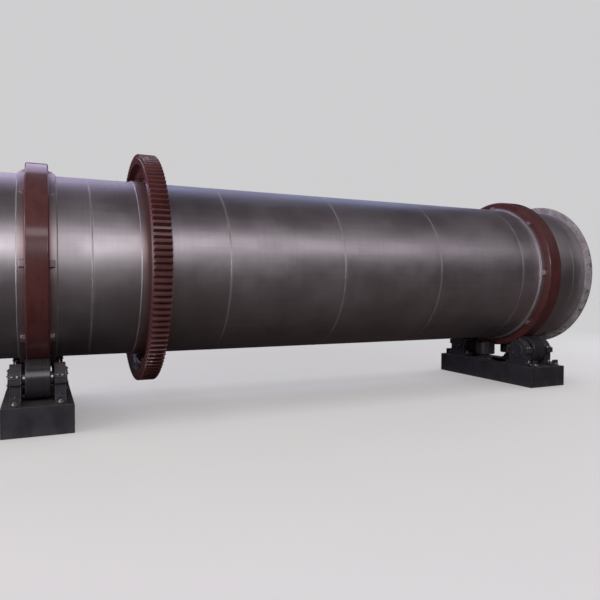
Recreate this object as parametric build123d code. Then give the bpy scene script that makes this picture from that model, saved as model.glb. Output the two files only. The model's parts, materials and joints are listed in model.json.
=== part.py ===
from build123d import *
import math
import os

# A rotary drum dryer: a long plate drum with two riding rings and a toothed girth gear,
# lying on two roller stations that stand on the floor.
# X runs along the drum, Y across it and Z up. All sizes are in millimetres.
# The origin is on the floor, under the middle of the drum.

# Drum shell
shell_outer_radius = 1050
shell_wall = 16
course_length = 1500
course_count = 4
ring_course_length = 1050
end_course_length = 262

# End flanges of the drum, measured outwards from the shell
end_flange_height = 100
end_flange_thickness = 28
end_flange_bolts = 24
end_flange_bolt_height = 55
end_flange_hole_radius = 13

# Riding rings and what holds them on the shell
ring_section_height = 102
ring_width = 230
ring_chamfer = 12
wrapper_edge = 22
wrapper_thickness = 28
stop_count = 8
stop_length = 48
stop_height = 40
stop_arc_deg = 3.6

# Girth gear, whose tooth size follows from the tooth count and its radius
gear_offset = 1190
gear_teeth = 124
gear_face_width = 204
gear_rim_thickness = 72
gear_web_thickness = 40
gear_web_height = 152.5
gear_web_clearance = 48
pressure_angle_deg = 20
split_flange_thickness = 36
split_flange_width = 150
split_flange_gap = 6

# Mounting ring that carries the gear
mount_pad_width = 330
mount_pad_thickness = 14
mount_flange_thickness = 30
mount_flange_overlap = 73
mount_gusset_count = 24
mount_gusset_thickness = 16

# Lifting flights inside the drum
flight_rows = 12
flight_depth = 150
flight_lip = 80
flight_thickness = 10
flight_end_gap = 350

# Support rollers
roller_radius = 205
roller_side_reach = 5
roller_base_gap = 30
roller_chamfer = 8
roller_angle_deg = 30
roller_rim = 48
roller_web_recess = 45
roller_hub_radius = 92
rolling_gap = 0.3
shaft_radius = 50
shaft_shoulder_radius = 68
shaft_fit = 0.05

# Bearing housings
housing_gap = 38
housing_width = 110
housing_cap_radius = 160
housing_foot_length = 440
housing_foot_height = 50
housing_foot_chamfer = 14
housing_ear_height = 76
housing_ear_reach = 42
housing_cover_radius = 112
housing_cover_height = 16
housing_cover_wall = 20
oiler_radius = 20
oiler_height = 16

# Station bases
base_height = 300
base_side_margin = 72
base_wall = 16
base_top_thickness = 24
base_foot_width = 170
base_foot_thickness = 22
base_window_length = 560
base_window_width = 340
base_diaphragm_thickness = 16
anchor_hole_radius = 18
anchor_inset = 115

# Adjusting screws at the outer feet of the housings
lug_thickness = 26
lug_width = 96
lug_height = 92
lug_foot_gap = 65
lug_edge_gap = 46
screw_radius = 15
screw_hole_clearance = 0.5
screw_tail = 20
nut_thickness = 24
nut_radius = 27

# Thrust rollers on both sides of the right riding ring
thrust_radius = 150
thrust_height = 200
thrust_rim = 44
thrust_recess = 28
thrust_hub_radius = 70
thrust_gap = 5
thrust_top_gap = 10
thrust_pin_radius = 36
thrust_pin_cap_radius = 52
thrust_pin_cap_height = 20
thrust_boss_radius = 62
thrust_boss_height = 30
stand_width = 106
stand_length = 260
stand_plate = 24
stand_top_length = 150

# Along the drum
ring_spacing = course_count * course_length + ring_course_length
ring_x = {"left": -ring_spacing / 2, "right": ring_spacing / 2}
shell_half_length = ring_spacing / 2 + ring_course_length / 2 + end_course_length
wrapper_width = ring_width + 2 * (stop_length + wrapper_edge)
gear_x = ring_x["left"] + gear_offset

# Outwards from the drum's axis
shell_inner_radius = shell_outer_radius - shell_wall
end_flange_outer_radius = shell_outer_radius + end_flange_height
end_flange_bolt_circle_radius = shell_outer_radius + end_flange_bolt_height
wrapper_outer_radius = shell_outer_radius + wrapper_thickness
stop_outer_radius = wrapper_outer_radius + stop_height
ring_outer_radius = wrapper_outer_radius + ring_section_height
pad_outer_radius = shell_outer_radius + mount_pad_thickness
gear_web_inner_radius = pad_outer_radius + gear_web_clearance
mount_flange_outer_radius = gear_web_inner_radius + mount_flange_overlap
gear_rim_inner_radius = gear_web_inner_radius + gear_web_height
gear_root_radius = gear_rim_inner_radius + gear_rim_thickness
gear_pitch_radius = gear_root_radius / (1 - 2.5 / gear_teeth)
gear_module = 2 * gear_pitch_radius / gear_teeth
gear_tip_radius = gear_pitch_radius + gear_module

# Up from the floor: the rollers stand on the bases and the drum lies on the rollers
roller_distance = ring_outer_radius + rolling_gap + roller_radius
roller_y = roller_distance * math.sin(math.radians(roller_angle_deg))
roller_z = base_height + roller_base_gap + roller_radius
axis_height = roller_z + roller_distance * math.cos(math.radians(roller_angle_deg))
thrust_top_z = axis_height - stop_outer_radius - thrust_top_gap
thrust_bottom_z = thrust_top_z - thrust_height

# The stations
roller_width = ring_width + 2 * roller_side_reach
housing_inner_x = roller_width / 2 + housing_gap
housing_outer_x = housing_inner_x + housing_width
base_width = 2 * (housing_outer_x + base_side_margin)
anchor_spacing_x = base_width - 2 * anchor_inset
thrust_offset = ring_width / 2 + thrust_gap + thrust_radius
foot_end_y = roller_y + housing_foot_length / 2
lug_y = foot_end_y + lug_foot_gap
base_length = 2 * (lug_y + lug_thickness + lug_edge_gap)

sides = {"left": -1, "right": 1}
fronts = {"front": -1, "back": 1}


def save(solid, name):
    export_step(solid, "parts/" + name + ".step")


def turned(outline, y=0, z=axis_height):
    # Spins an outline of (x, radius) points round an axis along X.
    corners = [(x, 0, radius) for x, radius in outline]
    face = make_face(Polyline(*corners, close=True))
    return Pos(0, y, z) * revolve(face, Axis.X)


def ring(x_start, x_end, inner, outer):
    return turned([(x_start, inner), (x_end, inner), (x_end, outer), (x_start, outer)])


def along_x(face, x_start, x_end, y=0, z=0):
    # Extrudes a face drawn as (y, z) from x_start to x_end.
    plane = Plane((x_start, y, z), x_dir=(0, 1, 0), z_dir=(1, 0, 0))
    return extrude(plane * face, amount=x_end - x_start)


def block(x_range, y_range, z_range):
    size = [high - low for low, high in (x_range, y_range, z_range)]
    centre = [(high + low) / 2 for low, high in (x_range, y_range, z_range)]
    return Pos(*centre) * Box(*size)


def polar(radius, angle_deg):
    angle = math.radians(angle_deg)
    return (radius * math.cos(angle), radius * math.sin(angle))


# Drum shell: an end course, the course under the riding ring, the plain courses
# between the rings, and the same again at the other end.

def make_shell():
    joints = [-shell_half_length]
    lengths = [end_course_length, ring_course_length]
    lengths += [course_length] * course_count
    lengths += [ring_course_length, end_course_length]
    for length in lengths:
        joints.append(joints[-1] + length)
    names = ["shell_end_left", "ring_course_left"]
    names += ["shell_course_" + str(number + 1) for number in range(course_count)]
    names += ["ring_course_right", "shell_end_right"]
    for name, start, end in zip(names, joints, joints[1:]):
        save(ring(start, end, shell_inner_radius, shell_outer_radius), name)


def make_end_flanges():
    # A flat bolted ring on each end of the drum.
    for side, sign in sides.items():
        inner_x = sign * shell_half_length
        outer_x = inner_x + sign * end_flange_thickness
        flange = ring(min(inner_x, outer_x), max(inner_x, outer_x),
                      shell_inner_radius, end_flange_outer_radius)
        drill = Circle(end_flange_hole_radius)
        step = 360 / end_flange_bolts
        centres = [polar(end_flange_bolt_circle_radius, (number + 0.5) * step)
                   for number in range(end_flange_bolts)]
        holes = Sketch() + [Pos(y, z) * drill for y, z in centres]
        flange -= along_x(holes, min(inner_x, outer_x), max(inner_x, outer_x), 0, axis_height)
        save(flange, "end_flange_" + side)


def make_riding_rings():
    for side, x in ring_x.items():
        half = ring_width / 2
        face = half - ring_chamfer
        shoulder = ring_outer_radius - ring_chamfer
        outline = [(x - half, wrapper_outer_radius), (x + half, wrapper_outer_radius),
                   (x + half, shoulder), (x + face, ring_outer_radius),
                   (x - face, ring_outer_radius), (x - half, shoulder)]
        save(turned(outline), "riding_ring_" + side)
        wrapper_half = wrapper_width / 2
        wrapper = ring(x - wrapper_half, x + wrapper_half,
                       shell_outer_radius, wrapper_outer_radius)
        save(wrapper, "wrapper_plate_" + side)


def make_ring_stops():
    # Stop blocks on the wrapper, touching both sides of the riding ring.
    for side, x in ring_x.items():
        blocks = []
        for sign in (-1, 1):
            near = x + sign * ring_width / 2
            far = near + sign * stop_length
            corners = [(near, 0, wrapper_outer_radius), (far, 0, wrapper_outer_radius),
                       (far, 0, stop_outer_radius - stop_height / 3), (near, 0, stop_outer_radius)]
            face = make_face(Polyline(*corners, close=True))
            piece = revolve(face, Axis.X, revolution_arc=stop_arc_deg)
            for number in range(stop_count):
                turn = number * 360 / stop_count - stop_arc_deg / 2
                blocks.append(Pos(0, 0, axis_height) * Rot(turn, 0, 0) * piece)
        save(Compound(children=blocks), "ring_stops_" + side)


# Girth gear in two halves, bolted together on a level split and bolted by its web
# to the mounting ring.

def half_gear(turn_deg):
    # The toothed rim's outline: straight flanks, one space centred on the split.
    step = 360 / gear_teeth
    slope = math.tan(math.radians(pressure_angle_deg))
    pitch_thickness = math.pi * gear_module / 2
    tip_half = math.degrees((pitch_thickness / 2 - gear_module * slope) / gear_tip_radius)
    root_half = math.degrees((pitch_thickness / 2 + 1.25 * gear_module * slope) / gear_root_radius)
    points = [(gear_root_radius, 0)]
    for number in range(gear_teeth // 2):
        middle = (number + 0.5) * step
        points.append(polar(gear_root_radius, middle - root_half))
        points.append(polar(gear_tip_radius, middle - tip_half))
        points.append(polar(gear_tip_radius, middle + tip_half))
        points.append(polar(gear_root_radius, middle + root_half))
    points.append((-gear_root_radius, 0))
    inner = gear_rim_inner_radius
    outline = Polyline(*points)
    outline += Line((-gear_root_radius, 0), (-inner, 0))
    outline += ThreePointArc((-inner, 0), (0, inner), (inner, 0))
    outline += Line((inner, 0), (gear_root_radius, 0))
    rim = along_x(make_face(outline), -gear_face_width / 2, gear_face_width / 2)
    # The web is a half ring, let into the rim.
    upper = Pos(0, gear_rim_inner_radius) * Rectangle(2 * gear_tip_radius, 2 * gear_rim_inner_radius)
    web_face = (Circle(inner) - Circle(gear_web_inner_radius)) & upper
    web = along_x(web_face, -gear_web_thickness / 2, gear_web_thickness / 2)
    half = rim + web
    # Flanges along the split, for the bolts that join the two halves. They stand
    # just outside the flange of the mounting ring.
    near = mount_flange_outer_radius + split_flange_gap
    for sign in (-1, 1):
        y_range = sorted((sign * near, sign * (inner + gear_module / 2)))
        half += block((gear_web_thickness / 2, split_flange_width / 2), y_range,
                      (0, split_flange_thickness))
    return Pos(gear_x, 0, axis_height) * Rot(turn_deg, 0, 0) * half


def make_girth_gear():
    save(half_gear(0), "girth_gear_upper")
    save(half_gear(180), "girth_gear_lower")


def make_gear_mount():
    # A pad on the shell, an upright flange beside the gear's web, and gussets behind it.
    pad_start = gear_x - mount_pad_width / 2
    pad_end = gear_x + mount_pad_width / 2
    flange_start = gear_x + gear_web_thickness / 2
    flange_end = flange_start + mount_flange_thickness
    outline = [(pad_start, shell_outer_radius), (pad_end, shell_outer_radius),
               (pad_end, pad_outer_radius), (flange_end, pad_outer_radius),
               (flange_end, mount_flange_outer_radius),
               (flange_start, mount_flange_outer_radius),
               (flange_start, pad_outer_radius), (pad_start, pad_outer_radius)]
    mount = turned(outline)
    root = (shell_outer_radius + pad_outer_radius) / 2
    middle = (flange_start + flange_end) / 2
    top = mount_flange_outer_radius - mount_flange_thickness
    web = make_face(Polyline((pad_end, 0, root), (middle, 0, root), (middle, 0, top),
                             (flange_end, 0, top), (pad_end, 0, pad_outer_radius),
                             close=True))
    gusset = extrude(web, amount=mount_gusset_thickness / 2, both=True)
    for number in range(mount_gusset_count):
        turn = (number + 0.5) * 360 / mount_gusset_count
        mount += Pos(0, 0, axis_height) * Rot(turn, 0, 0) * gusset
    save(mount, "gear_mounting_ring")


def make_flights():
    # Bent plates that lift and drop the load, one row every 30 degrees.
    root = math.sqrt(shell_inner_radius ** 2 - (flight_thickness / 2) ** 2)
    half = flight_thickness / 2
    tip = root - flight_depth
    face = make_face(Polyline((-half, root), (half, root), (half, tip + flight_thickness),
                              (flight_lip, tip + flight_lip / 2 + flight_thickness),
                              (flight_lip, tip + flight_lip / 2), (-half, tip), close=True))
    reach = shell_half_length - flight_end_gap
    rows = []
    for number in range(flight_rows):
        turn = Rot((number + 0.5) * 360 / flight_rows, 0, 0)
        rows.append(Pos(0, 0, axis_height) * turn * along_x(face, -reach, reach))
    save(Compound(children=rows), "lifting_flights")


# Roller stations: each carries the drum on two rollers, and each roller turns in two
# bearing housings.

def make_roller(x, y, name):
    half = roller_width / 2
    face = half - roller_chamfer
    shoulder = roller_radius - roller_chamfer
    web = half - roller_web_recess
    rim = roller_radius - roller_rim
    outline = [(x - half, shaft_shoulder_radius), (x - half, roller_hub_radius),
               (x - web, roller_hub_radius), (x - web, rim), (x - half, rim),
               (x - half, shoulder), (x - face, roller_radius),
               (x + face, roller_radius), (x + half, shoulder), (x + half, rim),
               (x + web, rim), (x + web, roller_hub_radius), (x + half, roller_hub_radius),
               (x + half, shaft_shoulder_radius)]
    save(turned(outline, y, roller_z), "roller_" + name)


def make_shaft(x, y, name):
    # Stepped: thick through the roller, thin through the bearings.
    end = housing_outer_x - housing_cover_wall - shaft_fit
    shoulder = housing_inner_x - housing_gap / 4
    outline = [(x - end, 0), (x - end, shaft_radius), (x - shoulder, shaft_radius),
               (x - shoulder, shaft_shoulder_radius), (x + shoulder, shaft_shoulder_radius),
               (x + shoulder, shaft_radius), (x + end, shaft_radius), (x + end, 0)]
    save(turned(outline, y, roller_z), "roller_shaft_" + name)


def make_housing(x, y, sign, name):
    # A split pillow block: a foot, a round cap, ears for the cap screws and a closed
    # cover on its outer side. The bore ends at the cover.
    drop = roller_z - base_height
    ear_outer = housing_cap_radius + housing_ear_reach
    foot_half = housing_foot_length / 2
    foot_top = housing_foot_height - drop
    body = Circle(housing_cap_radius)
    body += Pos(0, -drop / 2) * Rectangle(2 * housing_cap_radius, drop)
    body += Rectangle(2 * ear_outer, housing_ear_height)
    chamfered = Polygon((-foot_half, -drop), (foot_half, -drop),
                        (foot_half, foot_top - housing_foot_chamfer),
                        (foot_half - housing_foot_chamfer, foot_top),
                        (housing_foot_chamfer - foot_half, foot_top),
                        (-foot_half, foot_top - housing_foot_chamfer), align=None)
    body += chamfered
    inner_x = x + sign * housing_inner_x
    outer_x = x + sign * housing_outer_x
    low, high = sorted((inner_x, outer_x))
    housing = along_x(body, low, high, y, roller_z)
    low, high = sorted((outer_x, outer_x + sign * housing_cover_height))
    housing += along_x(Circle(housing_cover_radius), low, high, y, roller_z)
    low, high = sorted((inner_x, outer_x - sign * housing_cover_wall))
    housing -= along_x(Circle(shaft_radius + shaft_fit), low, high, y, roller_z)
    middle = (inner_x + outer_x) / 2
    oiler_base = roller_z + housing_cap_radius - oiler_height / 2
    housing += Pos(middle, y, oiler_base + oiler_height) * Cylinder(oiler_radius, 2 * oiler_height)
    save(housing, "bearing_" + name)


def make_base(side, x):
    # A welded box: top plate with a window under the riding ring, side walls, two
    # diaphragms and a foot strip across each end.
    half_width = base_width / 2
    half_length = base_length / 2
    whole = block((x - half_width, x + half_width), (-half_length, half_length), (0, base_height))
    inner_x = (x - half_width + base_wall, x + half_width - base_wall)
    inner_y = half_length - base_wall
    under_top = base_height - base_top_thickness
    foot_inner_y = half_length - base_foot_width
    hollow = block(inner_x, (-inner_y, inner_y), (base_foot_thickness, under_top))
    hollow += block(inner_x, (-foot_inner_y, foot_inner_y), (0, under_top))
    base = whole - hollow
    window_x = (x - base_window_width / 2, x + base_window_width / 2)
    base -= block(window_x, (-base_window_length / 2, base_window_length / 2),
                  (under_top, base_height))
    diaphragm_y = (base_window_length + base_wall) / 2 + base_diaphragm_thickness
    for sign in (-1, 1):
        near, far = sorted((sign * diaphragm_y, sign * (diaphragm_y + base_diaphragm_thickness)))
        base += block(inner_x, (near, far), (0, under_top))
        # Upright lugs that the adjusting screws pass through.
        for hand in (-1, 1):
            centre = x + hand * (housing_inner_x + housing_width / 2)
            inner, outer = sorted((sign * lug_y, sign * (lug_y + lug_thickness)))
            lug = block((centre - lug_width / 2, centre + lug_width / 2), (inner, outer),
                        (base_height, base_height + lug_height))
            hole = Cylinder(screw_radius + screw_hole_clearance, lug_thickness)
            middle = (inner + outer) / 2
            lug -= Pos(centre, middle, base_height + housing_foot_height / 2) * Rot(90, 0, 0) * hole
            base += lug
        for hand in (-1, 1):
            anchor_y = sign * (half_length - base_foot_width / 2)
            hole = Cylinder(anchor_hole_radius, base_foot_thickness)
            place = (x + hand * anchor_spacing_x / 2, anchor_y, base_foot_thickness / 2)
            base -= Pos(*place) * hole
    save(base, "station_base_" + side)


def make_adjusting_screws(side, x):
    # A threaded rod from the lug to the foot of each housing, with a nut on both
    # sides of the lug.
    inner_nut = lug_foot_gap - nut_thickness
    outer_nut = lug_foot_gap + lug_thickness
    length = outer_nut + nut_thickness + screw_tail
    rod = Pos(0, 0, length / 2) * Cylinder(screw_radius, length)
    nut = extrude(RegularPolygon(nut_radius, 6), amount=nut_thickness)
    screw = rod + Pos(0, 0, inner_nut) * nut + Pos(0, 0, outer_nut) * nut
    screws = []
    for sign in (-1, 1):
        for hand in (-1, 1):
            centre = x + hand * (housing_inner_x + housing_width / 2)
            place = Pos(centre, sign * foot_end_y, base_height + housing_foot_height / 2)
            screws.append(place * Rot(-90 * sign, 0, 0) * screw)
    save(Compound(children=screws), "adjusting_screws_" + side)


def make_thrust_roller(sign, name):
    # A flat roller on an upright pin, just clear of the side of the riding ring.
    x = ring_x["right"] + sign * thrust_offset
    bore = thrust_pin_radius + shaft_fit
    rim = thrust_radius - thrust_rim
    top = thrust_height - thrust_recess
    outline = [(bore, 0), (thrust_hub_radius, 0), (thrust_hub_radius, thrust_recess),
               (rim, thrust_recess), (rim, 0), (thrust_radius - roller_chamfer, 0),
               (thrust_radius, roller_chamfer), (thrust_radius, thrust_height - roller_chamfer),
               (thrust_radius - roller_chamfer, thrust_height), (rim, thrust_height),
               (rim, top), (thrust_hub_radius, top), (bore, top)]
    face = make_face(Polyline(*[(radius, 0, z) for radius, z in outline], close=True))
    save(Pos(x, 0, thrust_bottom_z) * revolve(face, Axis.Z), "thrust_roller_" + name)


def make_thrust_stand(sign, name):
    # A foot plate, a tapered web and a boss that holds the roller's pin.
    x = ring_x["right"] + sign * thrust_offset
    boss_base = thrust_bottom_z - rolling_gap - thrust_boss_height
    foot = block((x - stand_width / 2, x + stand_width / 2), (-stand_length / 2, stand_length / 2),
                 (base_height, base_height + stand_plate))
    taper = Polygon((-stand_length / 2, 0), (stand_length / 2, 0),
                    (stand_top_length / 2, boss_base - base_height),
                    (-stand_top_length / 2, boss_base - base_height), align=None)
    web = along_x(taper, x - stand_width / 3, x + stand_width / 3, 0, base_height)
    boss = Pos(x, 0, boss_base + thrust_boss_height / 2) * Cylinder(thrust_boss_radius, thrust_boss_height)
    pin_top = thrust_top_z - thrust_recess + rolling_gap
    pin_length = pin_top - boss_base
    pin = Pos(x, 0, boss_base + pin_length / 2) * Cylinder(thrust_pin_radius, pin_length)
    cap_middle = pin_top + thrust_pin_cap_height / 2
    cap = Pos(x, 0, cap_middle) * Cylinder(thrust_pin_cap_radius, thrust_pin_cap_height)
    save(foot + web + boss + pin + cap, "thrust_stand_" + name)


def make_stations():
    for side, x in ring_x.items():
        make_base(side, x)
        make_adjusting_screws(side, x)
        for front, sign in fronts.items():
            name = side + "_" + front
            y = sign * roller_y
            make_roller(x, y, name)
            make_shaft(x, y, name)
            make_housing(x, y, sides[side], name + "_outer")
            make_housing(x, y, -sides[side], name + "_inner")
    for name, sign in (("inner", -1), ("outer", 1)):
        make_thrust_roller(sign, name)
        make_thrust_stand(sign, name)


os.makedirs("parts", exist_ok=True)
make_shell()
make_end_flanges()
make_riding_rings()
make_ring_stops()
make_girth_gear()
make_gear_mount()
make_flights()
make_stations()
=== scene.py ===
import json
import math

import bmesh
import bpy
import numpy as np
from mathutils import Matrix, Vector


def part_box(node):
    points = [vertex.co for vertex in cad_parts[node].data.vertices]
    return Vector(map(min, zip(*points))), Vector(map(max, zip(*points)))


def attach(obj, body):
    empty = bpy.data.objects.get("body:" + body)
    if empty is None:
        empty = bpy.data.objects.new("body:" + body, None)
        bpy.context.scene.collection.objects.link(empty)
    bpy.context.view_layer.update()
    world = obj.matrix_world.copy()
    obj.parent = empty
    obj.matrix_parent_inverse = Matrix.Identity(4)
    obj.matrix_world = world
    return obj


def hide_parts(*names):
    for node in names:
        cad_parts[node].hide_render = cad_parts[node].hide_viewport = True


# Looks of a rotary drum dryer: silver drum, two red riding rings, a red girth gear and two roller stations.
# Lengths are in metres, X runs along the drum, Z is up and the floor is at Z = 0.

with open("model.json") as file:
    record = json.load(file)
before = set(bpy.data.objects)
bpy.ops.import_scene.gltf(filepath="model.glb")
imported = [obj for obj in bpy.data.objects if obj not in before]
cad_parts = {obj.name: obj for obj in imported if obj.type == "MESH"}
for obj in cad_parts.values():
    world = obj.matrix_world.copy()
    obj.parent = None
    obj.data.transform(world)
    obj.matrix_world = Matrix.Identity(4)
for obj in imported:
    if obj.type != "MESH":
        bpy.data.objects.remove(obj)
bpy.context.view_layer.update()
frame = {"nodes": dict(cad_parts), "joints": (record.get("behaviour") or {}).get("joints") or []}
print("frame loaded:", len(frame["nodes"]), "solids")


def span(node, axis):
    low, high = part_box(node)
    return low[axis], high[axis]


def middle(node, axis):
    return sum(span(node, axis)) / 2


def reach(node, axis):
    low, high = span(node, axis)
    return (high - low) / 2


# Places and sizes that the solids already fix
sides = {"left": -1, "right": 1}
fronts = {"front": -1, "back": 1}
axisZ = [joint for joint in frame["joints"] if joint["name"] == "drum_spin"][0]["pos_m"][2]
drumAxis = (0, 0, axisZ)
ringX = {side: middle("riding_ring_" + side, 0) for side in sides}
ringHalf = reach("riding_ring_left", 0)
ringRadius = reach("riding_ring_left", 1)
wrapperRadius = reach("wrapper_plate_left", 1)
shellRadius = reach("shell_course_1", 1)
gearX = middle("girth_gear_upper", 0)
gearHalf = reach("girth_gear_upper", 0)
gearTip = reach("girth_gear_upper", 1)
rollerRadius = reach("roller_left_front", 2)
rollerHalf = reach("roller_left_front", 0)
rollerY = middle("roller_left_back", 1)
rollerZ = middle("roller_left_front", 2)
baseTop = span("bearing_left_front_inner", 2)[0]
housingFoot = reach("bearing_left_front_inner", 1)


# A shape is (points, faces, uv): an n x 3 array, a list of index arrays with one face size each, and the
# UVs of the faces' corners.

cornerShares = {"arc": 0.45, "support": 0.25, "supportMost": 0.04}


def rounded(corners, size, steps=4, closed=True):
    # Each corner becomes a Bezier arc (1 - t)^2 start + 2 t (1 - t) corner + t^2 end. Start and end lie on
    # its two edges, size away from it, and one more point on each edge keeps the flat beside the arc flat.
    corners = np.asarray(corners, float)
    size = np.broadcast_to(size, len(corners))[:, None]

    def onEdge(shift):
        edge = np.roll(corners, shift, 0) - corners
        length = np.linalg.norm(edge, axis=1, keepdims=True)
        direction = edge / length
        on = corners + direction * np.minimum(size, cornerShares["arc"] * length)
        support = np.minimum(size * cornerShares["support"], cornerShares["supportMost"] * length)
        return on, on + direction * support

    (start, before), (end, after) = onEdge(1), onEdge(-1)
    t = np.linspace(0, 1, steps + 1)[None, :, None]
    curve = (1 - t) ** 2 * start[:, None] + 2 * t * (1 - t) * corners[:, None] + t ** 2 * end[:, None]
    curve = np.concatenate([before[:, None], curve, after[:, None]], 1)
    if closed:
        return curve.reshape(-1, 2)
    return np.vstack([corners[:1], curve[1:-1].reshape(-1, 2), corners[-1:]])


def fullTurn(steps):
    # Even turns round a circle, in radians.
    return np.linspace(0, 2 * np.pi, steps, endpoint=False)


def quadCorners(table):
    return np.stack([table[:-1, :-1], table[1:, :-1], table[1:, 1:], table[:-1, 1:]], 2)


def gridShape(points, closeRows=False, closeCols=False, capRows=False, uv=None):
    # Quads between neighbours of a rows x cols grid, joined up where it closes, with flat caps on open rows.
    rows, cols = points.shape[:2]
    index = np.arange(rows * cols).reshape(rows, cols)
    caps = [index[0][None, ::-1], index[-1][None]] if capRows else []
    if closeRows:
        index = np.vstack([index, index[:1]])
    if closeCols:
        index = np.hstack([index, index[:, :1]])
    quads = quadCorners(index).reshape(-1, 4)
    flat = points.reshape(-1, 3)
    a, b, c, d = (flat[quads[:, k]] - flat.mean(0) for k in range(4))
    volume = (a * (np.cross(b, c) + np.cross(c, d))).sum()  # its sign tells if the quads face outwards
    way = -1 if volume < 0 else 1
    if uv is not None:
        uv = quadCorners(uv[:index.shape[0], :index.shape[1]]).reshape(-1, 4, 2)[:, ::way].reshape(-1, 2)
    return flat, [face[:, ::way] for face in [quads, *caps]], uv


def spun(outline, centre, steps, axis="x"):
    # Carries (along, radius) round an axis: point = centre + along * axis + radius * (cos, sin).
    turn = fullTurn(steps)[:, None]
    along, radius = np.asarray(outline, float).T
    flat = along[None] + 0 * turn
    across, up = radius * np.cos(turn), radius * np.sin(turn)
    order = {"x": (flat, across, up), "z": (across, up, flat)}[axis]
    startsOnAxis = radius[0] < 1e-9
    return gridShape(np.stack(order, -1) + centre, closeRows=True, closeCols=not startsOnAxis)


def prism(outline, start, end, centre=(0, 0), axis=0):
    # Carries a closed outline along X or Y: the point outline + centre gets start, then end, on that axis.
    flat = np.asarray(outline, float) + centre
    ends = np.stack([np.insert(flat, axis, level, 1) for level in (start, end)])
    return gridShape(ends, closeCols=True, capRows=True)


def joined(shapes):
    # One shape from many: each list of faces is shifted by the points that come before it. Corner UVs stay
    # where every shape has them.
    points, faces, uvs, offset = [], [], [], 0
    for shape in shapes:
        points.append(shape[0])
        faces += [face + offset for face in shape[1]]
        uvs.append(shape[2])
        offset += len(shape[0])
    uv = np.vstack(uvs) if all(part is not None for part in uvs) else None
    return np.vstack(points), faces, uv


def copies(points, shape):
    # A shape from the points of its copies, whose faces are shifted by the points of the copies before them.
    shift = (np.arange(len(points)) * len(shape[0]))[:, None, None]
    return points.reshape(-1, 3), [(face[None] + shift).reshape(-1, face.shape[1]) for face in shape[1]], None


def repeated(shape, places, outward, spin=0.0):
    # Copies a shape drawn round +Z to many places: its Z goes along outward, then it turns by spin about it.
    places, outward = np.broadcast_arrays(np.atleast_2d(places), np.atleast_2d(outward))
    up = outward / np.linalg.norm(outward, axis=1, keepdims=True)
    helper = np.where(np.abs(up[:, :1]) > 0.9, [[0.0, 1.0, 0.0]], [[1.0, 0.0, 0.0]])
    side = np.cross(helper, up)
    side /= np.linalg.norm(side, axis=1, keepdims=True)
    other = np.cross(up, side)
    angle = np.broadcast_to(spin, len(places))[:, None]
    turnedSide = side * np.cos(angle) + other * np.sin(angle)
    turnedOther = other * np.cos(angle) - side * np.sin(angle)
    basis = np.stack([turnedSide, turnedOther, up], 1)
    return copies(np.einsum("nk,mkj->mnj", shape[0], basis) + places[:, None], shape)


def turnedAboutDrum(shape, angles):
    # Copies a shape round the drum's axis: (y, z) turns by each angle about (0, axisZ).
    cosine, sine = np.cos(angles)[:, None], np.sin(angles)[:, None]
    x, y, z = (shape[0] - drumAxis).T[:, None]
    return copies(np.stack([x + 0 * sine, y * cosine - z * sine, y * sine + z * cosine], -1) + drumAxis, shape)


def makeMesh(name, shape):
    # Puts the whole arrays of a shape into a mesh.
    points, faces, uv = shape
    mesh = bpy.data.meshes.new(name)
    sizes = np.concatenate([np.full(len(face), face.shape[1]) for face in faces])
    corners = np.concatenate([face.ravel() for face in faces])
    mesh.vertices.add(len(points))
    mesh.vertices.foreach_set("co", np.ascontiguousarray(points, np.float32).ravel())
    mesh.loops.add(len(corners))
    mesh.loops.foreach_set("vertex_index", corners.astype(np.int32))
    mesh.polygons.add(len(sizes))
    mesh.polygons.foreach_set("loop_start", (np.cumsum(sizes) - sizes).astype(np.int32))
    mesh.update(calc_edges=True)
    if uv is not None:
        values = np.ascontiguousarray(uv, np.float32).ravel()
        mesh.uv_layers.new(name="UVMap").data.foreach_set("uv", values)
    return mesh


def cleaned(mesh, distance, flatAngle=None):
    # Merges points that coincide and, where an angle is given, dissolves the edges inside flat faces.
    work = bmesh.new()
    work.from_mesh(mesh)
    bmesh.ops.remove_doubles(work, verts=work.verts, dist=distance)
    if flatAngle:
        bmesh.ops.dissolve_limit(work, angle_limit=flatAngle, verts=work.verts, edges=work.edges)
    work.to_mesh(mesh)
    work.free()


finishing = {"sharp": math.radians(38), "flat": math.radians(0.6), "solidMerge": 1e-5, "poleMerge": 2e-6,
             "bevelSteps": 2}


def finishPiece(name, mesh, look, body, bevel, replaces):
    # A look is a material and the record's slot that it stands for.
    material, slot = look
    mesh.validate()
    mesh.shade_smooth()
    mesh.set_sharp_from_angle(angle=finishing["sharp"])
    mesh.materials.append(material)
    piece = bpy.data.objects.new(name, mesh)
    bpy.context.scene.collection.objects.link(piece)
    if bevel:
        worn = piece.modifiers.new("worn edges", "BEVEL")
        worn.width = bevel
        worn.segments = finishing["bevelSteps"]
        worn.limit_method = "ANGLE"
        worn.angle_limit = finishing["sharp"]
        worn.harden_normals = True
    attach(piece, body)
    if replaces:
        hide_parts(*replaces)


def addPiece(name, shape, look, body, bevel=None, replaces=(), poles=False):
    mesh = makeMesh(name, shape)
    if poles:
        cleaned(mesh, finishing["poleMerge"])
    finishPiece(name, mesh, look, body, bevel, replaces)


def softened(node, look, body, width):
    # A merged copy of a solid with its flat faces made whole, so its edges can be rounded.
    mesh = frame["nodes"][node].data.copy()
    mesh.materials.clear()
    cleaned(mesh, finishing["solidMerge"], finishing["flat"])
    finishPiece(node + "_dressed", mesh, look, body, width, (node,))


def circlePath(x, radius, steps):
    # A circle round the drum's axis, with the directions that point away from it.
    turn = fullTurn(steps)
    out = np.stack([0 * turn, np.cos(turn), np.sin(turn)], -1)
    return np.array([x, 0, axisZ]) + radius * out, out


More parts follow.
